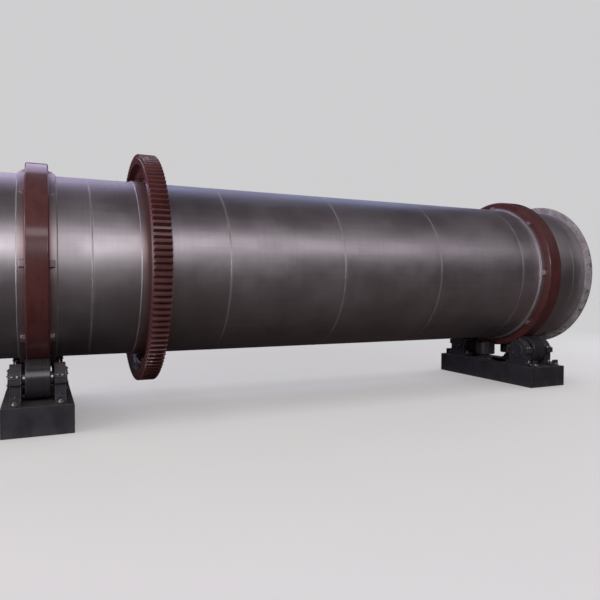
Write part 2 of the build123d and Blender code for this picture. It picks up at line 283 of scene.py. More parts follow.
weldBead = {"unevenness": 0.14, "wander": 0.0008, "sink": 0.002, "foot": 0.7, "facets": 6, "roundSteps": 260}


def bead(path, out, width, height, closed=True, seed=1):
    # Carries a half ellipse along a path: across = cos * width / 2, up = sin * height. Both are uneven along
    # its length.
    rng = np.random.default_rng(seed)
    ahead = np.roll(path, -1, 0) - np.roll(path, 1, 0) if closed else np.gradient(path, axis=0)
    ahead /= np.linalg.norm(ahead, axis=1, keepdims=True)
    side = np.cross(ahead, out)
    side /= np.linalg.norm(side, axis=1, keepdims=True)
    swell = 1 + weldBead["unevenness"] * rng.uniform(-1, 1, len(path))[:, None]
    drift = weldBead["wander"] * rng.uniform(-1, 1, len(path))[:, None]
    angle = np.linspace(0, np.pi, weldBead["facets"] + 1)
    across = np.append(np.cos(angle), [-weldBead["foot"], weldBead["foot"]]) * width / 2
    up = np.append(np.sin(angle) * height, [-weldBead["sink"]] * 2)
    points = (path[:, None] + side[:, None] * (across[None, :] * swell + drift)[..., None]
              + out[:, None] * (np.where(up > 0, up * swell, up))[..., None])
    if not closed:
        return gridShape(points, closeCols=True, capRows=True)
    steps = np.linalg.norm(np.roll(path, -1, 0) - path, axis=1)
    length = np.concatenate([[0], np.cumsum(steps)])
    uv = np.stack(np.meshgrid(length, np.linspace(0, 1, len(across) + 1), indexing="ij"), -1)
    return gridShape(points, closeRows=True, closeCols=True, uv=uv)


def straightBead(start, end, out, width, height, seed=1, steps=14):
    # The same bead along a straight line: point = start * (1 - t) + end * t.
    t = np.linspace(0, 1, steps)[:, None]
    path = np.asarray(start, float) * (1 - t) + np.asarray(end, float) * t
    out = np.asarray(out, float) / np.linalg.norm(out)
    return bead(path, out + 0 * path, width, height, closed=False, seed=seed)


def cornerBead(x, lean, radius, weld, seed):
    # The same bead round the drum, in the corner between a radius and a face at x that looks along lean, so
    # it is tilted half way between the two.
    path, out = circlePath(x + lean * weld["off"], radius + weld["off"], weldBead["roundSteps"])
    return bead(path, (out + [lean, 0, 0]) / math.sqrt(2), weld["width"], weld["height"], seed=seed)


hexShape = {"facets": 12, "crown": 0.97, "chamferFrom": 0.88, "dome": 1.03, "studTip": 0.98,
            "washerRadius": 0.58, "washerThickness": 0.09}


def hexHead(across, height, washer=None, stud=0.0, studRadius=0.0):
    # Loops round Z: washer, hexagon of radius flat / cos(angle from the flat), chamfered top, then a stud or
    # a dome.
    turn = fullTurn(hexShape["facets"])
    flat = across / 2
    hexagon = flat / np.cos((turn + np.pi / 6) % (np.pi / 3) - np.pi / 6)
    crown = np.minimum(hexagon, flat * hexShape["crown"])
    circle = np.ones(len(turn))
    wide, base = washer or (across * hexShape["washerRadius"], across * hexShape["washerThickness"])
    top = base + height
    loops = [(circle * wide, 0.0), (circle * wide, base), (hexagon, base),
             (hexagon, base + height * hexShape["chamferFrom"]), (crown, top)]
    if stud:
        loops += [(circle * studRadius, top), (circle * studRadius * hexShape["studTip"], top + stud)]
        loops += [(circle * 0, top + stud)]
    else:
        loops += [(circle * 0, base + height * hexShape["dome"])]
    radius = np.stack([loop[0] for loop in loops])
    z = np.array([loop[1] for loop in loops])[:, None] + 0 * turn
    points = np.stack([radius * np.cos(turn), radius * np.sin(turn), z], -1)
    index = np.arange(radius.size).reshape(radius.shape)
    quads = quadCorners(np.hstack([index, index[:, :1]]))[..., [0, 3, 2, 1]].reshape(-1, 4)
    return points.reshape(-1, 3), [quads[:-len(turn)], quads[-len(turn):, :3]], None


def around(count, radius, x, centre=(0, axisZ)):
    # Evenly spaced places round an axis along X, and the angle of each: (x, centre + radius * (cos, sin)).
    turn = (np.arange(count) + 0.5) * 2 * np.pi / count
    y, z = centre[0] + radius * np.cos(turn), centre[1] + radius * np.sin(turn)
    return np.stack([x + 0 * turn, y, z], -1), turn


class Nodes:
    # Short calls that add shader nodes to one tree. A value is a number, a colour or another node's output.
    def __init__(self, tree):
        self.tree = tree
        self.coordinates = None

    def feed(self, socket, value):
        if isinstance(value, bpy.types.NodeSocket):
            self.tree.links.new(value, socket)
        else:
            socket.default_value = (*value, 1) if socket.type == "RGBA" else value

    def put(self, kind, settings=None, inputs=None):
        node = self.tree.nodes.new("ShaderNode" + kind)
        for key, value in (settings or {}).items():
            setattr(node, key, value)
        for key, value in (inputs or {}).items():
            self.feed(node.inputs[key], value)
        return node

    def maths(self, operation, a, b=0.0, clamp=False):
        return self.put("Math", {"operation": operation, "use_clamp": clamp}, {0: a, 1: b}).outputs[0]

    def times(self, a, b, clamp=False):
        return self.maths("MULTIPLY", a, b, clamp)

    def plus(self, a, b, clamp=False):
        return self.maths("ADD", a, b, clamp)

    def minus(self, a, b):
        return self.maths("SUBTRACT", a, b)

    def higher(self, a, b):
        return self.maths("MAXIMUM", a, b)

    def weighted(self, values, weights):
        # The sum of value * weight over all pairs.
        total = None
        for value, weight in zip(values, weights):
            part = value if weight == 1 else self.times(value, weight)
            total = part if total is None else self.plus(total, part)
        return total

    def ramp(self, value, low, high, to=(0.0, 1.0)):
        inputs = {"Value": value, "From Min": low, "From Max": high, "To Min": to[0], "To Max": to[1]}
        return self.put("MapRange", {"interpolation_type": "SMOOTHSTEP"}, inputs).outputs[0]

    def mix(self, mask, a, b):
        return self.put("Mix", {"data_type": "RGBA"}, {0: mask, 6: a, 7: b}).outputs[2]

    def coats(self, colour, *layers):
        # Lays each (mask, colour) over what is below it.
        for mask, over in layers:
            colour = self.mix(mask, colour, over)
        return colour

    def between(self, mask, a, b):
        return self.put("Mix", {"data_type": "FLOAT"}, {0: mask, 2: a, 3: b}).outputs[0]

    def place(self):
        if self.coordinates is None:
            self.coordinates = self.put("TexCoord").outputs["Object"]
        return self.coordinates

    def noise(self, scale, detail, roughness, vector=None):
        vector = self.place() if vector is None else vector
        inputs = {"Vector": vector, "Scale": scale, "Detail": detail, "Roughness": roughness}
        return self.put("TexNoise", None, inputs).outputs["Fac"]

    def normal(self):
        return self.put("NewGeometry").outputs["Normal"]

    def split(self, vector):
        return self.put("SeparateXYZ", None, {0: vector}).outputs

    def vector(self, x, y, z=0.0):
        return self.put("CombineXYZ", None, {0: x, 1: y, 2: z}).outputs[0]

    def effect(self, name, **values):
        return self.put("Group", {"node_tree": groups[name]}, values).outputs

    def wire(self, shader, colour, metallic, roughness, height=None, bump=None):
        # A bump is its depth and its strength.
        for label, value in (("Base Color", colour), ("Metallic", metallic), ("Roughness", roughness)):
            self.feed(shader.inputs[label], value)
        if bump:
            raised = self.put("Bump", None, {"Height": height, "Distance": bump[0], "Strength": bump[1]})
            self.feed(shader.inputs["Normal"], raised.outputs[0])


def newGroup(name, inputs, outputs):
    tree = bpy.data.node_groups.new(name, "ShaderNodeTree")
    for label, value in inputs.items():
        socket = tree.interface.new_socket(name=label, in_out="INPUT", socket_type="NodeSocketFloat")
        socket.default_value = value
    for label in outputs:
        tree.interface.new_socket(name=label, in_out="OUTPUT", socket_type="NodeSocketFloat")
    return Nodes(tree), tree.nodes.new("NodeGroupInput").outputs, tree.nodes.new("NodeGroupOutput").inputs


# In the dictionaries of effects a noise is its detail and roughness, and any other pair is a range.
edgeWear = {"bend": (0.01, 0.20), "noise": (5.0, 0.7), "below": 0.14, "above": 0.10}


def makeEdgeWear():
    # Mask where the surface bends within Width, broken up by noise.
    nodes, given, result = newGroup("edgeWear", {"Width": 0.006, "Amount": 0.5, "Scale": 60.0}, ["Mask"])
    smooth = nodes.put("Bevel", {"samples": 4}, {"Radius": given["Width"]}).outputs[0]
    same = nodes.put("VectorMath", {"operation": "DOT_PRODUCT"}, {0: smooth, 1: nodes.normal()})
    edge = nodes.ramp(nodes.minus(1.0, same.outputs["Value"]), *edgeWear["bend"])
    rough = nodes.noise(given["Scale"], *edgeWear["noise"])
    cut = nodes.minus(1.0, given["Amount"])
    patchy = nodes.ramp(rough, nodes.minus(cut, edgeWear["below"]), nodes.plus(cut, edgeWear["above"]))
    nodes.feed(result["Mask"], nodes.times(edge, patchy, True))
    return nodes.tree


paintGrain = {"patchNoise": (3.0, 0.6), "fineNoise": (2.0, 0.5), "shares": (0.8, 0.2)}


def makePaintGrain():
    # Tone drifts slowly over the paint; Height is its fine orange peel.
    nodes, given, result = newGroup("paintGrain", {"Patch": 2.0, "Grain": 220.0}, ["Tone", "Height"])
    patch = nodes.noise(given["Patch"], *paintGrain["patchNoise"])
    fine = nodes.noise(given["Grain"], *paintGrain["fineNoise"])
    nodes.feed(result["Tone"], nodes.weighted((patch, fine), paintGrain["shares"]))
    nodes.feed(result["Height"], fine)
    return nodes.tree


upwardDustAndSheen = {"upward": (0.25, 0.95), "patchNoise": (6.0, 0.65), "patches": (0.30, 0.68), "thinnest": 0.35,
            "fleckScale": 140.0, "fleckNoise": (3.0, 0.6), "flecks": (0.56, 0.70), "fleckShare": 0.28}


def makeUpwardDustAndSheen():
    # A mask where the surface looks up, thicker in patches, with a few flecks on every side: dust, and on the
    # red paint also a painted sheen on the tops.
    nodes, given, result = newGroup("upwardDustAndSheen", {"Amount": 0.6, "Patch": 5.0}, ["Mask"])
    up = nodes.split(nodes.normal())["Z"]
    patch = nodes.noise(given["Patch"], *upwardDustAndSheen["patchNoise"])
    fine = nodes.noise(upwardDustAndSheen["fleckScale"], *upwardDustAndSheen["fleckNoise"])
    thickness = nodes.ramp(patch, *upwardDustAndSheen["patches"], (upwardDustAndSheen["thinnest"], 1.0))
    lying = nodes.times(nodes.ramp(up, *upwardDustAndSheen["upward"]), thickness)
    flecks = nodes.times(nodes.ramp(fine, *upwardDustAndSheen["flecks"]), upwardDustAndSheen["fleckShare"])
    nodes.feed(result["Mask"], nodes.times(nodes.plus(lying, flecks, True), given["Amount"], True))
    return nodes.tree


rustSpecks = {"noise": (6.0, 0.7), "wideNoise": (2.0, 0.5), "wideScale": 0.12, "shares": (0.7, 0.4),
              "bareLevel": 0.86, "perCover": 0.5, "below": 0.04, "above": 0.05}


def makeRustSpecks():
    # Specks of noise that gather where a wide noise is high too. Cover lowers the level they start from.
    nodes, given, result = newGroup("rustSpecks", {"Scale": 30.0, "Cover": 0.3}, ["Mask"])
    coarse = nodes.noise(given["Scale"], *rustSpecks["noise"])
    wide = nodes.noise(nodes.times(given["Scale"], rustSpecks["wideScale"]), *rustSpecks["wideNoise"])
    level = nodes.minus(rustSpecks["bareLevel"], nodes.times(given["Cover"], rustSpecks["perCover"]))
    value = nodes.weighted((coarse, wide), rustSpecks["shares"])
    low, high = nodes.minus(level, rustSpecks["below"]), nodes.plus(level, rustSpecks["above"])
    nodes.feed(result["Mask"], nodes.ramp(value, low, high))
    return nodes.tree


axisMarks = {"noise": (3.0, 0.7), "perTurn": 0.004}


def makeAxisMarks():
    # Radius is the distance from an axis along X. Marks are tool marks: noise over x and that radius, which
    # hardly changes with the turn.
    inputs = {"CentreY": 0.0, "CentreZ": 0.0, "Fineness": 260.0}
    nodes, given, result = newGroup("axisMarks", inputs, ["Radius", "Marks"])
    place = nodes.split(nodes.place())
    across = nodes.minus(nodes.maths("ABSOLUTE", place["Y"]), given["CentreY"])
    up = nodes.minus(place["Z"], given["CentreZ"])
    radius = nodes.maths("SQRT", nodes.plus(nodes.times(across, across), nodes.times(up, up)))
    turn = nodes.times(nodes.maths("ARCTAN2", up, across), axisMarks["perTurn"])
    section = nodes.vector(place["X"], radius, turn)
    nodes.feed(result["Radius"], radius)
    nodes.feed(result["Marks"], nodes.noise(given["Fineness"], *axisMarks["noise"], section))
    return nodes.tree


streaks = {"noise": (5.0, 0.62)}


def makeStreaks():
    # Noise squeezed along X, Y and Z by three factors, for brushed paint and drips.
    inputs = {"AlongX": 1.0, "AlongY": 1.0, "AlongZ": 1.0, "Scale": 1.0}
    nodes, given, result = newGroup("streaks", inputs, ["Mask"])
    squeeze = nodes.vector(given["AlongX"], given["AlongY"], given["AlongZ"])
    place = nodes.put("VectorMath", {"operation": "MULTIPLY"}, {0: nodes.place(), 1: squeeze}).outputs[0]
    nodes.feed(result["Mask"], nodes.noise(given["Scale"], *streaks["noise"], place))
    return nodes.tree


groups = {"edgeWear": makeEdgeWear(), "paintGrain": makePaintGrain(), "upwardDustAndSheen": makeUpwardDustAndSheen(),
          "rustSpecks": makeRustSpecks(), "axisMarks": makeAxisMarks(), "streaks": makeStreaks()}


def newFinish(name):
    material = bpy.data.materials.new(name)
    material.use_nodes = True
    material.node_tree.nodes.clear()
    nodes = Nodes(material.node_tree)
    shader = nodes.put("BsdfPrincipled")
    nodes.put("OutputMaterial", None, {"Surface": shader.outputs[0]})
    return material, nodes, shader


# Noise lies mostly in these ranges, so a ramp over one of them uses its whole width
toneRange = (0.36, 0.64)
wideRange = (0.35, 0.65)

silverPaint = {"light": (0.580, 0.568, 0.590), "dark": (0.490, 0.480, 0.500), "metallic": 0.90,
               "roughness": (0.40, 0.53), "roughRange": (0.35, 0.68), "grain": {"Patch": 1.4, "Grain": 190.0},
               "lengthwise": {"AlongX": 0.35, "AlongY": 9.0, "AlongZ": 9.0, "Scale": 2.4},
               "roundwise": {"AlongX": 34.0, "AlongY": 0.9, "AlongZ": 0.9, "Scale": 1.6},
               "shares": (0.45, 0.30, 0.25), "waves": 1.9, "peel": 0.03, "bump": (0.004, 0.25),
               "plateStep": 1.5, "seamBand": (0.012, 0.022), "seam": (0.70, 0.69, 0.70), "seamShare": 0.5,
               "seamRoughness": 0.1, "rust": (0.17, 0.10, 0.07), "rustShare": 0.55,
               "specks": {"Scale": 24.0, "Cover": 0.10}}
# Red overspray near the rings. Near the gear the same red is also painted shade and a painted reflection of the
# gear.
redMistAndGearShade = {"colour": (0.34, 0.20, 0.20), "metallic": 0.62, "drift": 0.10, "ringReach": 0.21,
           "ringShare": 0.60, "gearReach": 0.185, "gearShare": 0.95, "underGear": 0.02}
drumInside = {"plate": (0.16, 0.115, 0.09), "rubbed": (0.23, 0.19, 0.16), "rubbedRange": (0.40, 0.62),
              "metallic": 0.25, "roughness": 0.72, "depths": (0.012, 0.004)}


def makeSilverPaint():
    # Aluminium paint on rolled plate: brush streaks round the drum, runs along it, a dressed band at each
    # seam, and red overspray that fades with the distance from the rings and the gear. Next to the gear the
    # same red is also painted shade of the gear and a painted reflection of its red face. Inside the drum
    # the plate is rubbed.
    paint, mistAndShade, bare = silverPaint, redMistAndGearShade, drumInside
    material, nodes, shader = newFinish("drumSilverPaint")
    grain = nodes.effect("paintGrain", **paint["grain"])
    lengthwise = nodes.effect("streaks", **paint["lengthwise"])["Mask"]
    roundwise = nodes.effect("streaks", **paint["roundwise"])["Mask"]
    rust = nodes.times(nodes.effect("rustSpecks", **paint["specks"])["Mask"], paint["rustShare"])
    alongX = nodes.split(nodes.place())["X"]
    fromMiddle = nodes.maths("ABSOLUTE", alongX)
    fromSeam = nodes.maths("PINGPONG", fromMiddle, paint["plateStep"] / 2)
    seam = nodes.ramp(fromSeam, *paint["seamBand"], (1.0, 0.0))
    brushed = nodes.weighted((grain["Tone"], lengthwise, roundwise), paint["shares"])
    drift = nodes.times(nodes.minus(grain["Tone"], 0.5), mistAndShade["drift"])
    fromRing = nodes.plus(nodes.maths("ABSOLUTE", nodes.minus(fromMiddle, ringX["right"])), drift)
    fromGear = nodes.plus(nodes.maths("ABSOLUTE", nodes.minus(alongX, gearX)), drift)
    nearRing = nodes.ramp(fromRing, ringHalf, mistAndShade["ringReach"], (mistAndShade["ringShare"], 0.0))
    # Next to the gear this red is painted shade and a painted reflection of the gear's face, laid over real
    # overspray.
    underGear = gearHalf - mistAndShade["underGear"]
    nearGearMistAndShade = nodes.ramp(fromGear, underGear, mistAndShade["gearReach"], (mistAndShade["gearShare"], 0.0))
    sprayedAndGearShade = nodes.higher(nearRing, nearGearMistAndShade)
    outer = nodes.coats(nodes.mix(nodes.ramp(brushed, *toneRange), paint["dark"], paint["light"]),
                        (nodes.times(seam, paint["seamShare"]), paint["seam"]), (rust, paint["rust"]),
                        (sprayedAndGearShade, mistAndShade["colour"]))
    fromAxis = nodes.effect("axisMarks", CentreZ=axisZ)["Radius"]
    inside = nodes.ramp(fromAxis, *(shellRadius - depth for depth in bare["depths"]), (1.0, 0.0))
    rubbed = nodes.mix(nodes.ramp(roundwise, *bare["rubbedRange"]), bare["plate"], bare["rubbed"])
    metallic = nodes.between(sprayedAndGearShade, paint["metallic"], mistAndShade["metallic"])
    uneven = nodes.weighted((grain["Tone"], seam), (1, paint["seamRoughness"]))
    roughness = nodes.ramp(uneven, *paint["roughRange"], paint["roughness"])
    waves = nodes.effect("streaks", Scale=paint["waves"])["Mask"]
    height = nodes.weighted((waves, grain["Height"]), (1, paint["peel"]))
    nodes.wire(shader, nodes.mix(inside, outer, rubbed), nodes.between(inside, metallic, bare["metallic"]),
               nodes.between(inside, roughness, bare["roughness"]), height, paint["bump"])
    return material


# The mauve grey laid on the tops is dust and a painted sheen.
redPaint = {"light": (0.175, 0.060, 0.056), "dark": (0.125, 0.040, 0.038), "grime": (0.060, 0.028, 0.028),
            "bare": (0.30, 0.22, 0.22), "dustAndSheen": (0.24, 0.175, 0.185), "roughness": (0.38, 0.50),
            "specular": 0.30, "gloss": 0.75, "glossRoughness": 0.14, "grain": {"Patch": 4.5, "Grain": 260.0},
            "streak": {"AlongX": 6.0, "AlongY": 1.2, "AlongZ": 1.2, "Scale": 2.6}, "toneShares": (0.6, 0.4),
            "toolMarks": 210.0, "grimeRange": (0.60, 0.78), "grimeShare": 0.35, "roughShares": (0.7, 0.3),
            "wear": {"Width": 0.004, "Amount": 0.36, "Scale": 30.0}, "wearMetallic": 0.7,
            "dustAndSheenMask": {"Amount": 0.40, "Patch": 3.0}, "heightShares": (0.7, 0.3), "bump": (0.0006, 0.4)}


def makeRedPaint():
    # Oxide red enamel over turned steel: tool marks, grime in them, dust and a painted sheen on top, thin
    # paint on the edges and a gloss.
    paint = redPaint
    material, nodes, shader = newFinish("oxideRedPaint")
    grain = nodes.effect("paintGrain", **paint["grain"])
    marks = nodes.effect("axisMarks", CentreZ=axisZ, Fineness=paint["toolMarks"])["Marks"]
    wear = nodes.effect("edgeWear", **paint["wear"])["Mask"]
    # Mauve grey on the up-facing faces: dust, and a painted sheen of the light that grazes them.
    dustAndSheenMask = nodes.effect("upwardDustAndSheen", **paint["dustAndSheenMask"])["Mask"]
    streak = nodes.effect("streaks", **paint["streak"])["Mask"]
    tone = nodes.ramp(nodes.weighted((grain["Tone"], streak), paint["toneShares"]), *toneRange)
    grime = nodes.ramp(marks, *paint["grimeRange"], (0.0, paint["grimeShare"]))
    colour = nodes.coats(nodes.mix(tone, paint["dark"], paint["light"]), (grime, paint["grime"]),
                         (dustAndSheenMask, paint["dustAndSheen"]), (wear, paint["bare"]))
    uneven = nodes.weighted((grain["Tone"], marks), paint["roughShares"])
    height = nodes.weighted((marks, grain["Height"]), paint["heightShares"])
    nodes.wire(shader, colour, nodes.times(wear, paint["wearMetallic"]),
               nodes.ramp(uneven, *wideRange, paint["roughness"]), height, paint["bump"])
    shader.inputs["Specular IOR Level"].default_value = paint["specular"]
    shader.inputs["Coat Weight"].default_value = paint["gloss"]
    shader.inputs["Coat Roughness"].default_value = paint["glossRoughness"]
    return material


stationPaint = {"paint": (0.044, 0.047, 0.056), "faded": (0.066, 0.069, 0.080), "dustAndSheen": (0.15, 0.135, 0.125),
                "bare": (0.34, 0.335, 0.34), "rust": (0.13, 0.062, 0.035), "roughness": (0.40, 0.58),
                "dustRoughness": 0.85, "grain": {"Patch": 6.0, "Grain": 160.0}, "toneShares": (0.7, 0.3),
                "toneRange": (0.34, 0.66), "wear": {"Width": 0.011, "Amount": 0.58, "Scale": 26.0},
                "wearMetallic": 0.8, "specks": {"Scale": 46.0, "Cover": 0.16}, "rustShare": 0.7,
                "drips": {"AlongX": 7.0, "AlongY": 7.0, "AlongZ": 1.1, "Scale": 1.3}, "dustPatch": 5.5,
                "splashHeight": 0.14, "splashRange": (0.30, 0.70), "splashShare": 0.45, "pits": 95.0,
                "grainHeight": 0.35, "bump": (0.0012, 0.45)}


def makeStationPaint(name, cast, dustAndSheen):
    # Dark blue grey enamel: dust on what looks up, drips, splashes near the floor and bare metal on the
    # edges. Cast is the height of the casting's pits.
    paint = stationPaint
    material, nodes, shader = newFinish(name)
    grain = nodes.effect("paintGrain", **paint["grain"])
    wear = nodes.effect("edgeWear", **paint["wear"])["Mask"]
    dustAndSheenMask = nodes.effect("upwardDustAndSheen", Amount=dustAndSheen, Patch=paint["dustPatch"])["Mask"]
    drips = nodes.effect("streaks", **paint["drips"])["Mask"]
    rust = nodes.times(nodes.effect("rustSpecks", **paint["specks"])["Mask"], paint["rustShare"])
    low = nodes.ramp(nodes.split(nodes.place())["Z"], 0.0, paint["splashHeight"], (1.0, 0.0))
    splash = nodes.times(low, nodes.ramp(drips, *paint["splashRange"]))
    dirt = nodes.higher(dustAndSheenMask, nodes.times(splash, paint["splashShare"]))
    tone = nodes.weighted((grain["Tone"], drips), paint["toneShares"])
    colour = nodes.coats(nodes.mix(nodes.ramp(tone, *paint["toneRange"]), paint["paint"], paint["faded"]),
                         (rust, paint["rust"]), (wear, paint["bare"]), (dirt, paint["dustAndSheen"]))
    clean = nodes.ramp(grain["Tone"], *wideRange, paint["roughness"])
    roughness = nodes.between(dirt, clean, paint["dustRoughness"])
    pits = nodes.effect("streaks", Scale=paint["pits"])["Mask"]
    height = nodes.weighted((grain["Height"], pits), (paint["grainHeight"], cast))
    nodes.wire(shader, colour, nodes.times(wear, paint["wearMetallic"]), roughness, height, paint["bump"])
    return material


flangeFinish = {"light": (0.74, 0.73, 0.74), "dark": (0.48, 0.465, 0.465), "turned": (0.34, 0.32, 0.31),
                "rust": (0.10, 0.055, 0.038), "bare": (0.52, 0.51, 0.51), "roughness": (0.42, 0.70),
                "grain": {"Patch": 7.0, "Grain": 120.0}, "specks": {"Scale": 26.0, "Cover": 0.46},
                "chips": {"Scale": 9.0, "Cover": 0.40}, "wear": {"Width": 0.005, "Amount": 0.50, "Scale": 48.0},
                "wearMetallic": 0.7, "toolMarks": 150.0, "turnedRange": (0.58, 0.75), "turnedShare": 0.4,
                "chipDepth": 0.6, "bump": (0.0012, 0.6)}


def makeFlangePaint():
    # Pale end flange with turning marks, and paint broken into jagged dark and rusty specks.
    paint = flangeFinish
    material, nodes, shader = newFinish("flangePaleGrey")
    tone = nodes.effect("paintGrain", **paint["grain"])["Tone"]
    specks = nodes.effect("rustSpecks", **paint["specks"])["Mask"]
    chips = nodes.effect("rustSpecks", **paint["chips"])["Mask"]
    wear = nodes.effect("edgeWear", **paint["wear"])["Mask"]
    marks = nodes.effect("axisMarks", CentreZ=axisZ, Fineness=paint["toolMarks"])["Marks"]
    turned = nodes.ramp(marks, *paint["turnedRange"], (0.0, paint["turnedShare"]))
    colour = nodes.coats(nodes.mix(nodes.ramp(tone, *toneRange), paint["dark"], paint["light"]),
                         (turned, paint["turned"]), (nodes.higher(specks, chips), paint["rust"]),
                         (wear, paint["bare"]))
    height = nodes.minus(marks, nodes.times(chips, paint["chipDepth"]))
    nodes.wire(shader, colour, nodes.times(wear, paint["wearMetallic"]),
               nodes.ramp(tone, *wideRange, paint["roughness"]), height, paint["bump"])
    return material


weldScales = {"wave": {"Scale": 22.0, "Distortion": 2.4, "Detail": 2.0}, "crest": 0.4, "bow": 0.05,
              "across": 0.004, "patch": 9.0, "shares": (0.5, 0.5), "range": (0.25, 0.75),
              "roughness": (0.36, 0.58), "bump": (0.0016, 0.8)}


def makeWeldPaint(name, light, dark, metallic):
    # Painted weld: fish scale ripples that follow the bead, from its own length and width. A bead with no UV
    # map has the patches alone.
    weld = weldScales
    material, nodes, shader = newFinish(name)
    uv = nodes.split(nodes.put("UVMap", {"uv_map": "UVMap"}).outputs[0])
    bow = nodes.maths("POWER", nodes.minus(uv["Y"], weld["crest"]), 2.0)
    along = nodes.weighted((uv["X"], bow), (1, weld["bow"]))
    line = nodes.vector(along, nodes.times(uv["Y"], weld["across"]))
    scales = nodes.put("TexWave", {"wave_profile": "SAW"}, {"Vector": line, **weld["wave"]}).outputs["Fac"]
    patch = nodes.effect("streaks", Scale=weld["patch"])["Mask"]
    tone = nodes.ramp(nodes.weighted((scales, patch), weld["shares"]), *weld["range"])
    roughness = nodes.ramp(patch, *wideRange, weld["roughness"])
    nodes.wire(shader, nodes.mix(tone, dark, light), metallic, roughness, scales, weld["bump"])
    return material


rollerSteel = {"tread": (0.095, 0.094, 0.102), "worn": (0.086, 0.085, 0.091), "shine": 0.45, "rolled": 26.0,
               "wornRange": (0.30, 0.72), "treadRoughness": (0.24, 0.28), "treadRange": (0.3, 0.7),
               "side": (0.040, 0.042, 0.050), "dusty": (0.066, 0.068, 0.078), "sideRoughness": (0.42, 0.62),
               "grain": {"Patch": 9.0, "Grain": 180.0}, "wear": {"Width": 0.006, "Amount": 0.55, "Scale": 50.0},
               "depths": (0.006, 0.002), "bump": (0.0001, 0.05)}


def makeRollerSteel():
    # Dark painted sides and a dark oiled tread, told apart by the radius, with marks rolled round the tread.
    steel = rollerSteel
    material, nodes, shader = newFinish("rollerSteel")
    axis = nodes.effect("axisMarks", CentreY=rollerY, CentreZ=rollerZ, Fineness=steel["rolled"])
    marks = axis["Marks"]
    tone = nodes.effect("paintGrain", **steel["grain"])["Tone"]
    wear = nodes.effect("edgeWear", **steel["wear"])["Mask"]
    tread = nodes.ramp(axis["Radius"], *(rollerRadius - depth for depth in steel["depths"]))
    side = nodes.mix(nodes.ramp(tone, *toneRange), steel["side"], steel["dusty"])
    bright = nodes.mix(nodes.ramp(marks, *steel["wornRange"]), steel["worn"], steel["tread"])
    bare = nodes.higher(tread, wear)
    roughness = nodes.between(tread, nodes.ramp(tone, *wideRange, steel["sideRoughness"]),
                              nodes.ramp(marks, *steel["treadRange"], steel["treadRoughness"]))
    nodes.wire(shader, nodes.mix(bare, side, bright), nodes.times(bare, steel["shine"]), roughness, marks,
               steel["bump"])
    return material


turnedSteel = {"rust": (0.14, 0.075, 0.045), "rustShare": 0.8, "roughRust": 0.4, "roughRange": (0.3, 0.9),
               "roughness": (0.24, 0.62), "specks": {"Scale": 60.0, "Cover": 0.22}, "squeeze": 12.0,
               "bump": (0.0005, 0.4)}


def makeTurnedSteel(name, light, dark, scale):
    # Bare steel with fine marks squeezed along X, dark and rough in rusty specks.
    steel = turnedSteel
    material, nodes, shader = newFinish(name)
    fine = nodes.effect("streaks", AlongX=steel["squeeze"], Scale=scale)["Mask"]
    specks = nodes.effect("rustSpecks", **steel["specks"])["Mask"]
    colour = nodes.coats(nodes.mix(nodes.ramp(fine, *wideRange), dark, light),
                         (nodes.times(specks, steel["rustShare"]), steel["rust"]))
    uneven = nodes.weighted((fine, specks), (1, steel["roughRust"]))
    roughness = nodes.ramp(uneven, *steel["roughRange"], steel["roughness"])
    nodes.wire(shader, colour, 1.0, roughness, fine, steel["bump"])
    return material


millScale = {"dark": (0.10, 0.10, 0.11), "light": (0.19, 0.18, 0.18), "rust": (0.17, 0.085, 0.05),
             "bare": (0.36, 0.34, 0.33), "metallic": 0.7, "roughness": (0.45, 0.75),
             "grain": {"Patch": 5.0, "Grain": 150.0}, "specks": {"Scale": 14.0, "Cover": 0.75},
             "wear": {"Width": 0.006, "Amount": 0.6, "Scale": 60.0}, "bump": (0.0010, 0.5)}


def makeMillScale():
    # Bare rolled plate inside the drum: blue grey scale broken by brown rust.
    plate = millScale
    material, nodes, shader = newFinish("barePlate")
    grain = nodes.effect("paintGrain", **plate["grain"])
    rust = nodes.effect("rustSpecks", **plate["specks"])["Mask"]
    wear = nodes.effect("edgeWear", **plate["wear"])["Mask"]
    colour = nodes.coats(nodes.mix(nodes.ramp(grain["Tone"], *wideRange), plate["dark"], plate["light"]),
                         (rust, plate["rust"]), (wear, plate["bare"]))
    nodes.wire(shader, colour, nodes.between(rust, plate["metallic"], 0.0),
               nodes.ramp(grain["Tone"], *wideRange, plate["roughness"]), grain["Height"], plate["bump"])
    return material


# Each look is a material and the record's slot that it stands for
silver = makeSilverPaint(), "drum_silver_paint"
red = makeRedPaint(), "oxide_red_paint"
station = makeStationPaint("stationGreyPaint", cast=0.0, dustAndSheen=0.65), "station_grey_paint"
castPaint = makeStationPaint("castHousingPaint", cast=0.8, dustAndSheen=0.55), "station_grey_paint"
flangePaint = makeFlangePaint(), "flange_grey"
silverWeld = (makeWeldPaint("silverWeldPaint", light=(0.68, 0.665, 0.685), dark=(0.50, 0.485, 0.50),
                            metallic=0.72), "drum_silver_paint")
stationWeld = (makeWeldPaint("stationWeldPaint", light=(0.075, 0.078, 0.09), dark=(0.03, 0.033, 0.042),
                             metallic=0.0), "station_grey_paint")
rollerFinish = makeRollerSteel(), "roller_steel"
brightSteel = (makeTurnedSteel("turnedSteel", light=(0.62, 0.61, 0.61), dark=(0.36, 0.35, 0.35), scale=60.0),
               "shaft_steel")
boltSteel = makeTurnedSteel("boltSteel", light=(0.50, 0.49, 0.49), dark=(0.22, 0.21, 0.21), scale=40.0)
gearBolt, stationBolt = (boltSteel, "oxide_red_paint"), (boltSteel, "station_grey_paint")
barePlate = makeMillScale(), "bare_plate"
print("finishes made:", len(bpy.data.materials))


drumShell = {"wall": 0.016, "ripple": 0.0011, "lobes": (5, 9, 14), "slants": (3, -5), "alongWaves": 1.5,
             "lesser": 0.6, "edge": 0.002, "edgeRound": 0.3, "steps": 192, "acrossPlate": 12}


